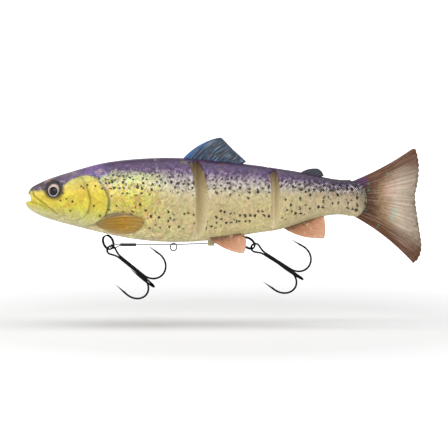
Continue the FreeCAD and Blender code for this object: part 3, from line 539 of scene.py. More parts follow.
def makeTail():
    piece = copyOf(fishForm, "tailSkin")
    cutWedge(piece, rearAxisX, jointCuts["rear"])
    centreX, front, wide, deep = tailEnd["x"] - tailEnd["radius"], tailEnd["front"], tailEnd["wide"], tailEnd["deep"]
    blank = rod((centreX, 0, 0), (0, 1, 0), tailEnd["radius"], 60, 96)
    plan = [(front, -wide), (centreX, -wide), (centreX, wide), (front, wide)]
    carve(blank, prism(plan, -deep, deep), "UNION")
    carve(piece, blank, "INTERSECT")
    half = tailEnd["slotHalf"]
    flare = half + tailEnd["slotRun"] * math.tan(math.radians(tailEnd["slotDeg"]))
    start, end = tailEnd["slotStart"], tailAxisX + tailEnd["slotRun"]
    carve(piece, prism([(start, -half), (tailAxisX, -half), (end, -flare), (end, flare), (tailAxisX, half),
                        (start, half)], -deep, deep))
    soften(piece)
    markSkin(piece)
    return piece


headSkin = makeHead()
middleSkin = makeMiddle()
tailSkin = makeTail()
bpy.data.objects.remove(fishForm)
for piece in (headSkin, middleSkin, tailSkin):
    pick(piece)
    bpy.ops.object.shade_smooth()
    print(piece.name, len(piece.data.polygons), "faces")


fins = {
    # root: along the body, leading ray first; edge: from the tip round the free margin
    # bow: how far the first and last ray bulge sideways; thick: at root and margin
    "dorsal": {
        "root": [(97.2, 25.0), (103.0, 24.6), (112.0, 23.6), (122.0, 22.6), (129.0, 21.9), (134.6, 21.5)],
        "edge": [(115.6, 37.2), (119.8, 38.0), (122.2, 36.2), (127.0, 31.2), (131.6, 27.0), (136.3, 22.6)],
        "bow": (1.8, 0.3), "rays": 17, "thick": (2.0, 0.8), "sink": 2.6, "ragged": 0.3},
    "adipose": {
        "root": [(170.6, 15.6), (175.0, 15.2), (180.0, 14.2), (183.6, 13.2)],
        "edge": [(178.6, 18.5), (181.4, 18.3), (183.6, 16.6), (185.1, 14.0)],
        "bow": (0.8, 0.0), "rays": 6, "thick": (2.2, 1.2), "sink": 1.6, "ragged": 0.0},
    "anal": {
        "root": [(159.4, -18.6), (165.0, -17.6), (171.2, -16.0), (178.0, -13.8), (184.0, -11.6)],
        "edge": [(180.4, -25.7), (184.6, -25.8), (185.9, -23.6), (186.2, -20.0), (185.9, -16.0), (185.3, -11.8)],
        "bow": (-1.9, 0.0), "rays": 12, "thick": (2.0, 0.8), "sink": 1.6, "ragged": 0.35},
    "pelvic": {
        "root": [(113.4, -25.4), (118.5, -25.0), (124.0, -24.4), (129.5, -23.8), (133.6, -23.4)],
        "edge": [(129.6, -34.4), (133.8, -34.9), (135.3, -32.4), (136.0, -29.0), (135.8, -25.4)],
        "bow": (-1.3, 0.0), "rays": 11, "thick": (1.7, 0.8), "sink": 1.4, "ragged": 0.35},
    "pectoral": {
        "root": [(41.6, -14.6), (41.9, -16.2), (43.2, -17.6), (45.4, -18.8)],
        "edge": [(66.4, -10.2), (70.4, -11.8), (71.6, -14.6), (70.0, -18.2), (66.0, -21.0), (60.4, -22.4)],
        "bow": (3.6, -1.5), "rays": 9, "thick": (1.6, 0.9), "sink": 0.3, "ragged": 0.0},
    "tail": {
        "root": [(205.6, 12.0), (207.6, 8.4), (209.0, 4.0), (209.3, -0.5), (208.6, -5.5), (207.2, -10.0),
                 (205.6, -13.4)],
        "edge": [(239.8, 30.3), (242.0, 31.0), (243.5, 28.8), (244.9, 21.5), (244.8, 13.6), (243.8, 7.0), (242.7, 1.6),
                 (243.3, -6.0), (244.2, -12.0), (245.4, -19.4), (246.4, -26.0), (246.9, -31.4), (246.0, -36.0),
                 (244.0, -39.6), (241.6, -41.5)],
        "bow": (-1.3, 2.2), "rays": 23, "thick": (2.6, 1.0), "sink": 3.6, "ragged": 0.5},
    "across": 4,       # grid steps for each ray
    "outward": 26,     # grid steps from root to margin
    "web": 0.72,       # thickness between the rays, as a share
    "pelvicLean": 16.0,
    "pelvicRoot": (6.4, -22.5),     # distance from the centre plane, height
    "pelvicSunk": -3.0,
    "pectoralOff": (0.25, 0.9),     # off the flank at root and margin
}


def makeFin(name, cut, place):
    # a grid bent between its root and its margin, thickened, with raised rays
    columns = cut["rays"] * fins["across"]
    deselectAll()
    bpy.ops.mesh.primitive_grid_add(x_subdivisions=columns, y_subdivisions=fins["outward"], size=1)
    piece = newest(name)
    applied(piece, "SOLIDIFY", thickness=0.1, offset=0)
    flat = places(piece) * mm
    u = flat[:, 0] + 0.5
    v = flat[:, 1] + 0.5
    side = np.sign(flat[:, 2])
    pickAt = np.clip((u * 399).round().astype(int), 0, 399)
    rootXZ = curveThrough(cut["root"], 400)[pickAt]
    edgeXZ = curveThrough(cut["edge"], 400)[pickAt]
    run = edgeXZ - rootXZ
    reach = np.maximum(np.linalg.norm(run, axis=1), 1.0)
    ray = 0.5 + 0.5 * np.cos(2 * np.pi * cut["rays"] * u)
    rag = cut["ragged"] * smoothStep(0.75, 1.0, v) * (ray - 0.6)
    start = -cut["sink"] / reach
    step = start + (1 - start) * v
    bow = (cut["bow"][0] * (1 - u) ** 1.5 + cut["bow"][1] * u ** 1.5) * 4 * v * (1 - v)
    aside = np.stack([-run[:, 1], run[:, 0]], axis=1) / reach[:, None]
    at = rootXZ + run * step[:, None] + run / reach[:, None] * rag[:, None] + aside * bow[:, None]
    thin = cut["thick"][0] + (cut["thick"][1] - cut["thick"][0]) * np.clip(v, 0, 1) ** 0.7
    roundOff = np.sqrt(np.clip(1 - (2 * np.abs(u - 0.5)) ** 24, 0.08, 1)) * np.sqrt(np.clip(1 - v ** 30, 0.1, 1))
    half = thin / 2 * (fins["web"] + (1 - fins["web"]) * ray) * roundOff
    setPlaces(piece, place(at[:, 0], at[:, 1], side * half, v))
    faceOutward(piece)
    floatLayer(piece, "acrossRays", u)
    floatLayer(piece, "outward", np.clip(v, 0, 1))
    floatLayer(piece, "ray", ray)
    bpy.ops.object.shade_smooth()
    return piece


def onCentre(x, z, offset, v):
    return np.stack([x, offset, z], axis=1)


def splayed(sideSign):
    def place(x, z, offset, v):
        lean = math.radians(fins["pelvicLean"])
        out, height = fins["pelvicRoot"]
        drop = np.maximum(height - z, fins["pelvicSunk"])
        y = out + np.sin(lean) * drop + offset * math.cos(lean)
        return np.stack([x, sideSign * y, z + (1 - math.cos(lean)) * drop], axis=1)
    return place


def onFlank(sideSign):
    def place(x, z, offset, v):
        root, margin = fins["pectoralOff"]
        y = skinY(x, z) + root + margin * v ** 2 + offset
        return np.stack([x, sideSign * y, z], axis=1)
    return place


print("modelling the fins")
dorsalFin = makeFin("dorsalFin", fins["dorsal"], onCentre)
adiposeFin = makeFin("adiposeFin", fins["adipose"], onCentre)
analFin = makeFin("analFin", fins["anal"], onCentre)
pelvicFins = [makeFin("pelvicFinLeft", fins["pelvic"], splayed(-1)),
              makeFin("pelvicFinRight", fins["pelvic"], splayed(1))]
pectoralFins = [makeFin("pectoralFinLeft", fins["pectoral"], onFlank(-1)),
                makeFin("pectoralFinRight", fins["pectoral"], onFlank(1))]
tailFin = makeFin("tailFin", fins["tail"], onCentre)


bridge = {"radius": 0.32, "length": 5.0, "sides": 20, "step": 0.5, "steps": 4}


def makeTraceBridge():
    # a short wire from the end of the front trace to the start of the rear one, cut into rings
    ends = {"front_trace_wire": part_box("front_trace_wire")[1].x, "rear_trace_wire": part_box("rear_trace_wire")[0].x}
    x = sum(ends.values()) / 2 / mm
    z = 0
    for node, wanted in ends.items():
        near = [v.co.z for v in frame["nodes"][node].data.vertices if abs(v.co.x - wanted) < 1e-6]
        z += (min(near) + max(near)) / 4 / mm
    deselectAll()
    bpy.ops.mesh.primitive_cylinder_add(vertices=bridge["sides"], radius=bridge["radius"] * mm,
                                        depth=bridge["length"] * mm, rotation=(0, math.pi / 2, 0),
                                        location=(x * mm, 0, z * mm))
    piece = newest("traceBridge")
    settle(piece)
    bpy.ops.object.mode_set(mode="EDIT")
    for k in range(-bridge["steps"], bridge["steps"] + 1):
        bpy.ops.mesh.select_all(action="SELECT")
        bpy.ops.mesh.bisect(plane_co=((x + k * bridge["step"]) * mm, 0, 0), plane_no=(1, 0, 0))
    pick(piece)
    bpy.ops.object.shade_smooth_by_angle(angle=math.radians(40))
    return piece


traceBridge = makeTraceBridge()


paint = {
    # colours from belly (0) to back (1)
    "shoulder": [(0.0, "#cdba92"), (0.14, "#cdb684"), (0.28, "#c2a764"), (0.42, "#b29a40"), (0.54, "#bda63a"),
                 (0.64, "#b8a33c"), (0.72, "#b6aa58"), (0.78, "#b4b454"), (0.825, "#828458"), (0.865, "#46304e"),
                 (0.93, "#311b42"), (1.0, "#281835")],
    "waist": [(0.0, "#c2b183"), (0.20, "#c2ae80"), (0.42, "#b6a377"), (0.58, "#b0a07a"), (0.66, "#a09579"),
              (0.75, "#827670"), (0.81, "#5a4a58"), (0.86, "#402a4c"), (0.93, "#301c42"), (1.0, "#281834")],
    "peduncle": [(0.0, "#ac9a7c"), (0.25, "#b4a184"), (0.5, "#a29076"), (0.66, "#746652"), (0.76, "#463937"),
                 (0.84, "#2a1f2a"), (1.0, "#1a121c")],
    "face": [(0.0, "#b8ae8c"), (0.14, "#c2b882"), (0.26, "#bcb45c"), (0.38, "#c5b03e"), (0.60, "#c6ac38"),
             (0.74, "#c4ae50"), (0.83, "#b3a858"), (1.0, "#8f8a50")],
    # raw plastic on the joint faces, darker towards the back
    "cutFace": [(0.0, "#d0c6a2"), (0.30, "#cabd98"), (0.60, "#bcae8a"), (0.80, "#8c7b5b"), (0.92, "#5f4f38"),
                (1.0, "#403222")],
    # painted light: how brightly the joint faces glow
    "cutGlow": 0.2,
    "crown": [(0.0, "#463a36"), (0.05, "#43353c"), (0.11, "#4a3a52"), (0.17, "#53406e"), (0.25, "#4c3b70")],
    "glints": [(0.0, "#d2562c"), (0.25, "#dcb82a"), (0.5, "#3fa688"), (0.75, "#e59a80"), (1.0, "#62b352")],
    "net": [(0.0, "#c9bb92"), (0.50, "#cfc39c"), (0.64, "#ddd5ce"), (0.78, "#d3c9d6"), (0.88, "#7d6a96"),
            (1.0, "#4d3a68")],
    "netGap": [(0.0, "#94835a"), (0.5, "#9a8a62"), (0.68, "#5c5264"), (0.8, "#43325c"), (1.0, "#241538")],
    "netPitch": 1.35,
    "netShare": [(0.0, 0.35), (0.40, 0.42), (0.60, 0.65), (0.70, 1.0), (0.82, 0.85), (0.92, 0.3), (1.0, 0.1)],
    "wander": 0.26,
    # flakes: cells to the mm, darkest, lightest, change of hue
    "flakes": ((0.95, 0.72, 1.34, 0.03), (0.25, 0.86, 1.16, 0.035)),
    # chance of a spot from belly to back, on the flank and more on the tail
    "spotRows": [(0.15, 0.0), (0.20, 0.5), (0.35, 0.66), (0.41, 0.06), (0.55, 0.06), (0.60, 0.5), (0.66, 0.9),
                 (0.79, 0.9), (0.86, 0.15), (0.90, 0.0)],
    "tailRows": [(0.20, 0.0), (0.32, 0.5), (0.85, 0.7), (0.93, 0.0)],
    "spotSize": (0.20, 0.35),
    "foil": [(0.0, 0.05), (0.45, 0.1), (0.7, 0.22), (0.82, 0.08)],
    "gloss": (0.26, 0.5),
    "spot": "#120e12",
    "smoke": "#1a1412",
    # painted shade in the head's creases
    "creaseShade": "#3e3318",
}
length = 220.0     # of the three sections
rgba = {"data_type": "RGBA"}
times = {"operation": "MULTIPLY"}


def softBodyPaint():
    # Soft moulded PVC over printed holographic foil: speckled bands, scale net, black spots, satin gloss.
    material, tree, shader = newMaterial(
        "softPvcOverPrintedFoil", IOR=1.5, Subsurface_Weight=0.05, Subsurface_Radius=(0.003, 0.002, 0.0012),
        Subsurface_Scale=1.0, Coat_Weight=0.07, Coat_Roughness=0.25, Specular_IOR_Level=0.25)
    skin = {name: (addNode(tree, "Attribute", {"attribute_name": name}), 2) for name in
            ("rise", "along", "girth", "cut", "headPlate", "crown", "seamShade", "smoke", "dots")}
    where = addNode(tree, "CombineXYZ", {}, {0: skin["along"], 1: skin["girth"]})

    # band edges wander by a few hundredths of the height, in 1 to 4 mm speckles
    drift = addNode(tree, "TexNoise", {"noise_dimensions": "2D", 2: 0.32, 3: 6.0, 4: 0.72}, {0: where})
    wander = addNode(tree, "Math", {"operation": "MULTIPLY_ADD", 1: paint["wander"], 2: -paint["wander"] / 2},
                     {0: drift})
    height = addNode(tree, "Math", {"operation": "ADD"}, {0: skin["rise"], 1: wander})
    bands = {name: addNode(tree, "ValToRGB", {"stops": paint[name]}, {0: height})
             for name in ("shoulder", "waist", "peduncle", "face", "cutFace")}
    share = addNode(tree, "Math", {**times, 1: 1 / length}, {0: skin["along"]})
    colour = bands["shoulder"]
    for name, start, end in (("waist", 0.30, 0.43), ("peduncle", 0.66, 0.90)):
        near = addNode(tree, "MapRange", {"interpolation_type": "SMOOTHSTEP", 1: start, 2: end}, {0: share})
        colour = (addNode(tree, "Mix", rgba, {0: near, 6: colour, 7: bands[name]}), 2)
    toTail = near
    colour = (addNode(tree, "Mix", rgba, {0: skin["headPlate"], 6: colour, 7: bands["face"]}), 2)
    crown = addNode(tree, "ValToRGB", {"stops": paint["crown"]}, {0: share})
    colour = (addNode(tree, "Mix", rgba, {0: skin["crown"], 6: colour, 7: crown}), 2)

    # foil flakes: 1 mm grains on 4 mm patches, each with its own brightness and tint, boldest on the shoulder
    offHead = addNode(tree, "MapRange", {3: 1.0, 4: 0.12}, {0: skin["headPlate"]})
    bold = addNode(tree, "MapRange", {1: 0.36, 2: 0.46, 3: 1.0, 4: 0.6}, {0: share})
    calm = addNode(tree, "MapRange", {3: 1.0, 4: 0.5}, {0: skin["headPlate"]})
    bold = addNode(tree, "Math", times, {0: bold, 1: calm})
    flakes = []
    for scale, dark, light, hue in paint["flakes"]:
        cell = addNode(tree, "TexVoronoi", {"voronoi_dimensions": "2D", 2: scale}, {0: where})
        random = addNode(tree, "SeparateColor", {}, {0: (cell, 1)})
        bright = addNode(tree, "MapRange", {3: dark, 4: light}, {0: random})
        tint = addNode(tree, "MapRange", {3: 0.5 - hue * 0.4, 4: 0.5 + hue}, {0: (random, 1)})
        colour = addNode(tree, "HueSaturation", {}, {"Hue": tint, "Value": bright, "Fac": bold, "Color": colour})
        flakes.append((cell, random))
    (grain, _), (_, patch) = flakes
    amount = addNode(tree, "ValToRGB", {"stops": [(0.90, 0.0), (0.91, 0.5)]}, {0: (patch, 2)})
    nearHead = addNode(tree, "MapRange", {1: 0.5, 2: 0.3, 3: 0.25, 4: 1.0}, {0: share})
    torn = addNode(tree, "TexNoise", {"noise_dimensions": "2D", 2: 1.1, 3: 3.0}, {0: where})
    tornEdge = addNode(tree, "ValToRGB", {"stops": [(0.45, 0.0), (0.56, 1.0)]}, {0: torn})
    for factor in (nearHead, tornEdge, calm):
        amount = addNode(tree, "Math", times, {0: amount, 1: factor})
    glint = addNode(tree, "ValToRGB", {"stops": paint["glints"]}, {0: patch})
    colour = (addNode(tree, "Mix", rgba, {0: amount, 6: colour, 7: glint}), 2)

    # scale net: slanting lines that cross in diamonds
    waves = []
    for sign in (1, -1):
        slant = addNode(tree, "VectorMath", {"operation": "DOT_PRODUCT"}, {0: where})
        turns = 2 * math.pi / paint["netPitch"]
        slant.inputs[1].default_value = (turns, sign * turns, 0)
        waves.append(addNode(tree, "Math", {"operation": "SINE"}, {0: (slant, 1)}))
    net = addNode(tree, "Math", {"operation": "MAXIMUM"}, dict(enumerate(waves)))
    netLine = addNode(tree, "ValToRGB", {"stops": [(0.35, 0.0), (0.80, 1.0)]}, {0: net})
    netBand = addNode(tree, "ValToRGB", {"stops": paint["netShare"]}, {0: height})
    broken = addNode(tree, "TexNoise", {"noise_dimensions": "2D", 2: 0.55, 3: 3.0}, {0: where})
    kept = addNode(tree, "MapRange", {1: 0.40, 2: 0.58, 3: 0.15, 4: 1.0}, {0: broken})
    amount = netLine
    for factor in (netBand, kept, offHead):
        amount = addNode(tree, "Math", times, {0: amount, 1: factor})
    light, dark = [addNode(tree, "ValToRGB", {"stops": paint[name]}, {0: height}) for name in ("net", "netGap")]
    side = addNode(tree, "MapRange", {1: 0.53, 2: 0.57}, {0: drift})
    tone = addNode(tree, "Mix", rgba, {0: side, 6: light, 7: dark})
    colour = (addNode(tree, "Mix", rgba, {0: amount, 6: colour, 7: (tone, 2)}), 2)

    smoke = addNode(tree, "MapRange", {1: 0.05, 2: 0.95, 3: 0.0, 4: 0.96}, {0: skin["smoke"]})
    colour = (addNode(tree, "Mix", {**rgba, 7: hexColour(paint["smoke"])}, {0: smoke, 6: colour}), 2)

    # spots: comma shaped, 1.2 to 2 mm, in an upper and a lower row
    ruffle = addNode(tree, "TexNoise", {"noise_dimensions": "2D", 2: 0.9, 3: 2.0}, {0: where})
    push = addNode(tree, "VectorMath", {"operation": "SCALE", 3: 2.2}, {0: (ruffle, 1)})
    bent = addNode(tree, "VectorMath", {"operation": "ADD"}, {0: where, 1: push})
    cell = addNode(tree, "TexVoronoi", {"voronoi_dimensions": "2D", 2: 0.34, 8: 0.9}, {0: bent})
    random = addNode(tree, "SeparateColor", {}, {0: (cell, 1)})
    rows, tailRows = [addNode(tree, "ValToRGB", {"stops": paint[name]}, {0: skin["rise"]})
                      for name in ("spotRows", "tailRows")]
    tailRows = addNode(tree, "Math", times, {0: tailRows, 1: toTail})
    chance = addNode(tree, "Math", {"operation": "MAXIMUM"}, {0: rows, 1: tailRows})
    fewer = addNode(tree, "MapRange", {3: 1.0, 4: 0.0}, {0: skin["headPlate"]})
    chance = addNode(tree, "Math", times, {0: chance, 1: fewer})
    wanted = addNode(tree, "Math", {"operation": "LESS_THAN"}, {0: random, 1: chance})
    size = addNode(tree, "MapRange", dict(zip((3, 4), paint["spotSize"])), {0: (random, 1)})
    inside = addNode(tree, "Math", {"operation": "SUBTRACT"}, {0: size, 1: cell})
    spot = addNode(tree, "MapRange", {1: 0.0, 2: 0.06, 3: 0.0, 4: 0.92}, {0: inside})
    spot = addNode(tree, "Math", times, {0: spot, 1: wanted})
    spot = addNode(tree, "Math", {"operation": "MAXIMUM"}, {0: spot, 1: skin["dots"]})
    colour = (addNode(tree, "Mix", {**rgba, 7: hexColour(paint["spot"])}, {0: spot, 6: colour}), 2)

    # joint faces show the bare tinted plastic and glow a little: painted light that lifts them out of the shade in the
    # joint gap. Painted shade darkens the creases
    mottle = addNode(tree, "MapRange", {1: 0.3, 2: 0.7, 3: 0.85, 4: 1.15}, {0: torn})
    raw = addNode(tree, "HueSaturation", {}, {"Value": mottle, "Color": bands["cutFace"]})
    colour = (addNode(tree, "Mix", rgba, {0: skin["cut"], 6: colour, 7: raw}), 2)
    cutFaceGlow = addNode(tree, "Math", {**times, 1: paint["cutGlow"]}, {0: skin["cut"]})
    creaseShade = addNode(tree, "Math", {**times, 1: 0.8}, {0: skin["seamShade"]})
    colour = (addNode(tree, "Mix", {**rgba, 7: hexColour(paint["creaseShade"])}, {0: creaseShade, 6: colour}), 2)
    foil = addNode(tree, "ValToRGB", {"stops": paint["foil"]}, {0: height})
    gloss = addNode(tree, "MapRange", dict(zip((3, 4), paint["gloss"])), {0: grain})
    relief = addNode(tree, "Math", times, {0: netLine, 1: offHead})
    bump = addNode(tree, "Bump", {0: 0.35, 1: 0.12 * mm}, {"Height": relief})
    joinUp(tree, shader, {"Base Color": colour, "Metallic": foil, "Roughness": gloss, "Normal": bump,
                          "Emission Color": raw, "Emission Strength": cutFaceGlow})
    return material


finPaints = {
    # colours from root (0) to margin (1); ray colour and strength; flecks: how few, colour, strength
    "softPvcSlateBlueFin": {
        "base": [(0.0, "#0e1224"), (0.12, "#161f38"), (0.32, "#262d3a"), (0.6, "#302f34"), (1.0, "#302f34")],
        "ray": ("#2f5a86", 0.2), "streaks": ("#8fb4d4", 0.6), "flecks": (0.88, "#5e4126", 0.5),
        "borders": [([(0.0, 1.0), (0.06, 0.8), (0.14, 0.0)], "#24598f")]},
    "softPvcDarkSlateFin": {
        "base": [(0.0, "#2d2536"), (0.5, "#2c2e36"), (1.0, "#24262c")],
        "ray": ("#444a5a", 0.25), "streaks": ("#5a6070", 0.3), "flecks": (0.93, "#1c1c22", 0.4)},
    "softPvcSalmonFin": {
        "base": [(0.0, "#4c3827"), (0.14, "#66492f"), (0.27, "#ad7a55"), (0.6, "#c89070"), (1.0, "#d6aa8c")],
        "ray": ("#b0784f", 0.3), "streaks": ("#e2b494", 0.25), "flecks": (0.93, "#e3c0a2", 0.35)},
    "softPvcAmberFin": {
        "base": [(0.0, "#938454"), (0.2, "#9c7c30"), (0.6, "#b0801c"), (1.0, "#a98c44")],
        "ray": ("#5c3e10", 0.5), "streaks": ("#d8ac56", 0.4), "flecks": (0.95, "#d0a758", 0.35),
        "borders": [([(0.0, 0.95), (0.12, 0.75), (0.22, 0.0)], "#7a7462"), ([(0.6, 0.0), (0.95, 0.85)], "#bda678")]},
    "softPvcTailFin": {
        "base": [(0.0, "#250c03"), (0.14, "#301405"), (0.26, "#4f2d14"), (0.44, "#977a5a"), (0.68, "#c2b09c"),
                 (0.93, "#a09180"), (1.0, "#776a5a")],
        "ray": ("#6a4a32", 0.2), "streaks": ("#dccfbd", 0.16), "flecks": (0.975, "#5fa08c", 0.35),
        "borders": [([(0.0, 1.0), (0.12, 0.85), (0.28, 0.0), (0.74, 0.0), (0.89, 0.85), (1.0, 1.0)], "#542c10")],
        "patches": [(0.10, 0.10, 0.16, "#4a2c5c", 0.7), (0.62, 0.62, 0.06, "#86b8a6", 0.45),
                    (0.72, 0.55, 0.05, "#86b8a6", 0.4), (0.34, 0.55, 0.14, "#cfa8a0", 0.35)]},
}


def finPaint(name):
    # Thin soft PVC, tinted through: darker at the root, paler between the rays, satin.
    look = finPaints[name]
    material, tree, shader = newMaterial(
        name, Roughness=0.42, IOR=1.5, Specular_IOR_Level=0.3, Subsurface_Weight=0.08,
        Subsurface_Radius=(0.002, 0.0013, 0.0008), Subsurface_Scale=1.0)
    outward, ray, across = [(addNode(tree, "Attribute", {"attribute_name": layer}), 2)
                            for layer in ("outward", "ray", "acrossRays")]
    at = (addNode(tree, "TexCoord"), 3)
    grain = addNode(tree, "TexNoise", {2: 420.0, 3: 5.0, 4: 0.65}, {0: at})
    uneven = addNode(tree, "Math", {"operation": "MULTIPLY_ADD", 1: 0.35, 2: -0.175}, {0: grain})
    place = addNode(tree, "Math", {"operation": "ADD"}, {0: outward, 1: uneven})
    colour = addNode(tree, "ValToRGB", {"stops": look["base"]}, {0: place})
    for stops, tone in look.get("borders", ()):
        place = addNode(tree, "Math", {"operation": "MULTIPLY_ADD", 1: 0.3}, {0: uneven, 2: across})
        border = addNode(tree, "ValToRGB", {"stops": stops}, {0: place})
        colour = (addNode(tree, "Mix", {**rgba, 7: hexColour(tone)}, {0: border, 6: colour}), 2)
    tone, strength = look["ray"]
    ribs = addNode(tree, "Math", {**times, 1: strength}, {0: ray})
    colour = (addNode(tree, "Mix", {**rgba, 7: hexColour(tone)}, {0: ribs, 6: colour}), 2)
    spread = addNode(tree, "CombineXYZ", {}, {0: across, 1: outward})
    drawn = addNode(tree, "VectorMath", times, {0: spread})
    drawn.inputs[1].default_value = (70.0, 2.2, 0.0)
    fibres = addNode(tree, "TexNoise", {2: 1.0, 3: 3.0, 4: 0.6}, {0: drawn})
    tone, strength = look["streaks"]
    bright = addNode(tree, "ValToRGB", {"stops": [(0.54, 0.0), (0.64, strength)]}, {0: fibres})
    colour = (addNode(tree, "Mix", {**rgba, 7: hexColour(tone)}, {0: bright, 6: colour}), 2)
    for acrossAt, outwardAt, radius, tone, strength in look.get("patches", ()):
        apart = addNode(tree, "VectorMath", {"operation": "DISTANCE"}, {0: spread})
        apart.inputs[1].default_value = (acrossAt, outwardAt, 0.0)
        worn = addNode(tree, "Math", {"operation": "MULTIPLY_ADD", 1: 0.4}, {0: uneven, 2: (apart, 1)})
        amount = addNode(tree, "MapRange", {1: radius, 2: radius * 0.5, 3: 0.0, 4: strength}, {0: worn})
        colour = (addNode(tree, "Mix", {**rgba, 7: hexColour(tone)}, {0: amount, 6: colour}), 2)
    dim = addNode(tree, "MapRange", {1: 0.3, 2: 0.7, 3: 0.75, 4: 1.2}, {0: fibres})
    colour = addNode(tree, "HueSaturation", {}, {"Value": dim, "Color": colour})
    fleck = addNode(tree, "TexVoronoi", {2: 600.0}, {0: at})
    random = addNode(tree, "SeparateColor", {}, {0: (fleck, 1)})
    few, tone, strength = look["flecks"]
    chosen = addNode(tree, "ValToRGB", {"stops": [(few, 0.0), (few + 0.02, strength)]}, {0: random})
    colour = (addNode(tree, "Mix", {**rgba, 7: hexColour(tone)}, {0: chosen, 6: colour}), 2)
    bump = addNode(tree, "Bump", {0: 0.3, 1: 0.1 * mm}, {"Height": fibres})
    joinUp(tree, shader, {"Base Color": colour, "Normal": bump})
    return material


def wireMetal(name, dark, light, edge, roughness, grain):
    # Drawn or plated wire: a fine uneven sheen left by the die or the plating bath.
    material, tree, shader = newMaterial(name, Metallic=1.0, Specular_Tint=hexColour(edge))
    noise = addNode(tree, "TexNoise", {2: grain, 3: 4.0, 4: 0.6}, {0: (addNode(tree, "TexCoord"), 3)})
    tone = addNode(tree, "ValToRGB", {"stops": [(0.3, dark), (0.7, light)]}, {0: noise})
    rough = addNode(tree, "MapRange", {3: roughness * 0.75, 4: roughness * 1.35}, {0: noise})
    joinUp(tree, shader, {"Base Color": tone, "Roughness": rough})
    return material


def mouldedPlastic(name, dark, light, roughness, grain):
    # Injection moulded part: faint flow clouds and a fine spark texture.
    material, tree, shader = newMaterial(name, Roughness=roughness, IOR=1.49)
    noise = addNode(tree, "TexNoise", {2: grain, 3: 4.0, 4: 0.55}, {0: (addNode(tree, "TexCoord"), 3)})
    tone = addNode(tree, "ValToRGB", {"stops": [(0.3, dark), (0.7, light)]}, {0: noise})
    bump = addNode(tree, "Bump", {0: 0.2, 1: 0.05 * mm}, {"Height": noise})
    joinUp(tree, shader, {"Base Color": tone, "Normal": bump})
    return material


eyeRings = {
    # ramps run over 6 mm from an axis
    "iris": [(0.0, "#a98d80"), (0.52, "#b0948a"), (0.62, "#80655b"), (0.67, "#2a1f1d"), (0.71, "#070606")],
    "pupil": [(0.0, "#07080b"), (0.30, "#050608"), (0.40, "#040405"), (0.45, "#040405"), (0.475, "#b9aea6"),
              (0.52, "#c9c3bf"), (0.55, "#5a4f4c")],
    "pupilEdge": [(0.53, 1.0), (0.57, 0.0)],
    "pupilDrop": 0.9,
    "reach": 6.0,
    "shadow": (-1.6, 0.6),     # the iris turns black between these heights about the pupil
}


def inkedResinEye(name, node):
    # Printed foil under a poured resin dome: black rim, pink-beige crescent, silver ring, low black pupil.
    material, tree, shader = newMaterial(name, Roughness=0.2, IOR=1.5, Coat_Weight=0.1, Coat_Roughness=0.06,
                                         Specular_IOR_Level=0.25)
    low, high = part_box(node)
    centre = (low + high) / 2
    at = (addNode(tree, "TexCoord"), 3)
    away = []
    for drop in (0.0, eyeRings["pupilDrop"]):
        shift = addNode(tree, "VectorMath", {"operation": "SUBTRACT"}, {0: at})
        shift.inputs[1].default_value = (centre.x, centre.y, centre.z - drop * mm)
        across = addNode(tree, "VectorMath", {"operation": "CROSS_PRODUCT"}, {0: shift})
        across.inputs[1].default_value = eyeDirection(node)
        radius = addNode(tree, "VectorMath", {"operation": "LENGTH"}, {0: across})
        away.append(addNode(tree, "Math", {**times, 1: 1 / (eyeRings["reach"] * mm)}, {0: (radius, 1)}))
    split = addNode(tree, "SeparateXYZ", {}, {0: shift})
    low, high = eyeRings["shadow"]
    dusk = addNode(tree, "MapRange", {1: low * mm, 2: high * mm}, {0: (split, 2)})
    iris = addNode(tree, "ValToRGB", {"stops": eyeRings["iris"]}, {0: away[0]})
    iris = addNode(tree, "Mix", {**rgba, 6: hexColour("#0a0808")}, {0: dusk, 7: iris})
    pupil, edge = [addNode(tree, "ValToRGB", {"stops": eyeRings[ring]}, {0: away[1]})
                   for ring in ("pupil", "pupilEdge")]
    colour = addNode(tree, "Mix", rgba, {0: edge, 6: (iris, 2), 7: pupil})
    joinUp(tree, shader, {"Base Color": (colour, 2)})
    return material


print("mixing materials")
bodyPaint = softBodyPaint()
dorsalPaint, adiposePaint, salmonPaint, amberPaint, tailPaint = [finPaint(name) for name in finPaints]
traceSteel = wireMetal("coatedTraceSteel", "#4c4f53", "#70747a", "#8a8d92", 0.38, 1500.0)
nodeFinish = (
    (wireMetal("blackNickelPlatedSteel", "#17171a", "#2c2c31", "#4a4a50", 0.3, 900.0),
     ("front_double_hook", "front_single_hook", "rear_double_hook", "rear_single_hook")),
    (wireMetal("blackNickelRingSteel", "#1b1b1f", "#333338", "#4a4a50", 0.32, 900.0),
     ("front_split_ring", "rear_split_ring", "tie_ring")),
    (traceSteel, ("front_trace_wire", "rear_trace_wire")),
    (wireMetal("drawnStainless", "#8c8d90", "#aeb0b3", "#ffffff", 0.3, 700.0),
     ("front_hinge_pin", "rear_hinge_pin")),
    (wireMetal("castKeelAlloy", "#3e3f43", "#5a5b60", "#c0c0c0", 0.55, 500.0),
     ("head_keel_weight", "middle_keel_weight")),
    (mouldedPlastic("mattBlackSleeve", "#1a1a1a", "#2c2c2c", 0.55, 900.0),
     ("front_crimp_sleeve", "rear_crimp_sleeve")),
    (mouldedPlastic("smokeTintedNylon", "#575039", "#6d654a", 0.45, 300.0),
     ("head_hinge_frame", "middle_spine_frame", "tail_hinge_frame")),
    (mouldedPlastic("greyTranslucentPlastic", "#5c6062", "#7a7e80", 0.35, 400.0), ("line_tube",)),
    (mouldedPlastic("beigeNylonKeeper", "#a0926c", "#b6a77e", 0.45, 400.0), ("wire_keeper",)),
    (mouldedPlastic("blackMouldedPlastic", "#121212", "#1e1e1e", 0.3, 500.0),
     ("mouth_grommet", "belly_grommet", "left_eye_disc", "right_eye_disc")),
    (inkedResinEye("inkedResinEyeLeft", "left_eye_lens"), ("left_eye_lens",)),
    (inkedResinEye("inkedResinEyeRight", "right_eye_lens"), ("right_eye_lens",)),
)
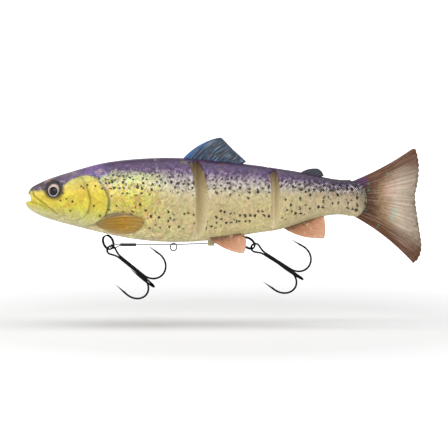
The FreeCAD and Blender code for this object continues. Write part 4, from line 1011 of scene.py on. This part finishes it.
for material, names in nodeFinish:
    for name in names:
        mesh = frame["nodes"][name].data
        mesh.materials.clear()
        mesh.materials.append(material)

pieceFinish = (
    (headSkin, bodyPaint, "soft_body", "head", ["head_section"]),
    (middleSkin, bodyPaint, "soft_body", "middle", ["middle_section"]),
    (tailSkin, bodyPaint, "soft_body", "tail", ["tail_section"]),
    (dorsalFin, dorsalPaint, "soft_fin", "middle", ["dorsal_fin"]),
    (adiposeFin, adiposePaint, "soft_fin", "tail", ["adipose_fin"]),
    (analFin, salmonPaint, "soft_fin", "tail", ["anal_fin"]),
    (pelvicFins[0], salmonPaint, "soft_fin", "middle", ["left_pelvic_fin"]),
    (pelvicFins[1], salmonPaint, "soft_fin", "middle", ["right_pelvic_fin"]),
    (pectoralFins[0], amberPaint, "soft_fin", "head", ["left_pectoral_fin"]),
    (pectoralFins[1], amberPaint, "soft_fin", "head", ["right_pectoral_fin"]),
    (traceBridge, traceSteel, "trace_steel", None, []),
    (tailFin, tailPaint, "soft_fin", None, ["tail_fin"]),
)
for piece, material, slot, body, nodes in pieceFinish:
    piece.data.materials.clear()
    piece.data.materials.append(material)
    if nodes:
        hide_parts(*nodes)
    if body:
        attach(piece, body)
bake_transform(traceBridge)
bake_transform(tailFin)


stage = {"floorZ": -80.6, "middle": 120.0, "size": 5000.0, "rise": 2000.0, "curve": 600.0, "segments": 16,
         "paint": ("#c9c9c9", "#d3d3d3"), "glow": 0.9, "glowFrom": (150.0, 800.0)}
# place, size across and down in metres, watts
softboxes = {
    "overheadSoftbox": ((0.12, -0.04, 0.95), (1.5, 0.75), 11.5),
    "frontSoftbox": ((-0.1, -1.3, 0.6), (1.2, 0.9), 9.0),
    "sideSoftbox": ((-1.1, -0.6, 0.3), (0.7, 0.7), 3.0),
}
worldLight = (0.42, 1.1)     # as a light, as the background


def makeStage():
    # pale floor that curves up into a wall behind
    deselectAll()
    half = stage["size"] / 2 * mm
    middle = (stage["middle"] * mm, 0, stage["floorZ"] * mm)
    bpy.ops.mesh.primitive_plane_add(size=stage["size"] * mm, location=middle)
    piece = newest("studioSweep")
    settle(piece)
    bpy.ops.object.mode_set(mode="EDIT")
    bpy.ops.mesh.select_all(action="DESELECT")
    bpy.ops.object.mode_set(mode="OBJECT")
    for edge in piece.data.edges:
        edge.select = min(piece.data.vertices[i].co.y for i in edge.vertices) > half * 0.9
    bpy.ops.object.mode_set(mode="EDIT")
    bpy.ops.mesh.select_mode(type="EDGE")
    bpy.ops.mesh.extrude_region_move(TRANSFORM_OT_translate={"value": (0, 0, stage["rise"] * mm)})
    bpy.ops.object.mode_set(mode="OBJECT")
    applied(piece, "BEVEL", width=stage["curve"] * mm, segments=stage["segments"], limit_method="ANGLE")
    pick(piece)
    bpy.ops.object.shade_smooth()
    material, tree, shader = newMaterial("paintedStudioSweep", Roughness=0.9, Emission_Color=(1, 1, 1, 1))
    at = (addNode(tree, "TexCoord"), 3)
    noise = addNode(tree, "TexNoise", {2: 2.0}, {0: at})
    tone = addNode(tree, "ValToRGB", {"stops": list(zip((0.0, 1.0), stage["paint"]))}, {0: noise})
    apart = addNode(tree, "VectorMath", {"operation": "DISTANCE"}, {0: at})
    apart.inputs[1].default_value = middle
    low, high = stage["glowFrom"]
    glow = addNode(tree, "MapRange", {1: low * mm, 2: high * mm, 3: 0.0, 4: stage["glow"]}, {0: (apart, 1)})
    joinUp(tree, shader, {"Base Color": tone, "Emission Strength": glow})
    piece.data.materials.append(material)


def softbox(name, place, size, power):
    light = bpy.data.lights.new(name, "AREA")
    light.shape = "RECTANGLE"
    light.size, light.size_y = size
    light.energy = power
    lamp = bpy.data.objects.new(name, light)
    bpy.context.scene.collection.objects.link(lamp)
    lamp.location = place
    target = Vector((stage["middle"] * mm, 0, 0))
    lamp.rotation_euler = (target - Vector(place)).to_track_quat("-Z", "Y").to_euler()


camera = {"centre": (122.0, 0.0, -16.7), "distance": 1.7, "elevation": 4.0, "width": 283.1}


def makeCamera():
    data = bpy.data.cameras.new("camera")
    eye = bpy.data.objects.new("camera", data)
    bpy.context.scene.collection.objects.link(eye)
    target = Vector(camera["centre"]) * mm
    up = math.radians(camera["elevation"])
    eye.location = target + camera["distance"] * Vector((0, -math.cos(up), math.sin(up)))
    eye.rotation_euler = (target - eye.location).to_track_quat("-Z", "Y").to_euler()
    data.sensor_width = 36.0
    data.lens = data.sensor_width * camera["distance"] / (camera["width"] * mm)
    data.clip_end = 20.0
    bpy.context.scene.camera = eye


print("setting the stage")
makeStage()
for name, settings in softboxes.items():
    softbox(name, *settings)
makeCamera()
scene = bpy.context.scene
scene.world = bpy.data.worlds.new("studio")
scene.world.use_nodes = True
tree = scene.world.node_tree
background = tree.nodes["Background"]
background.inputs[0].default_value = (1, 1, 1, 1)
seen = addNode(tree, "LightPath")
joinUp(tree, background, {1: addNode(tree, "MapRange", dict(zip((3, 4), worldLight)), {0: seen})})
scene.view_settings.view_transform = "Standard"
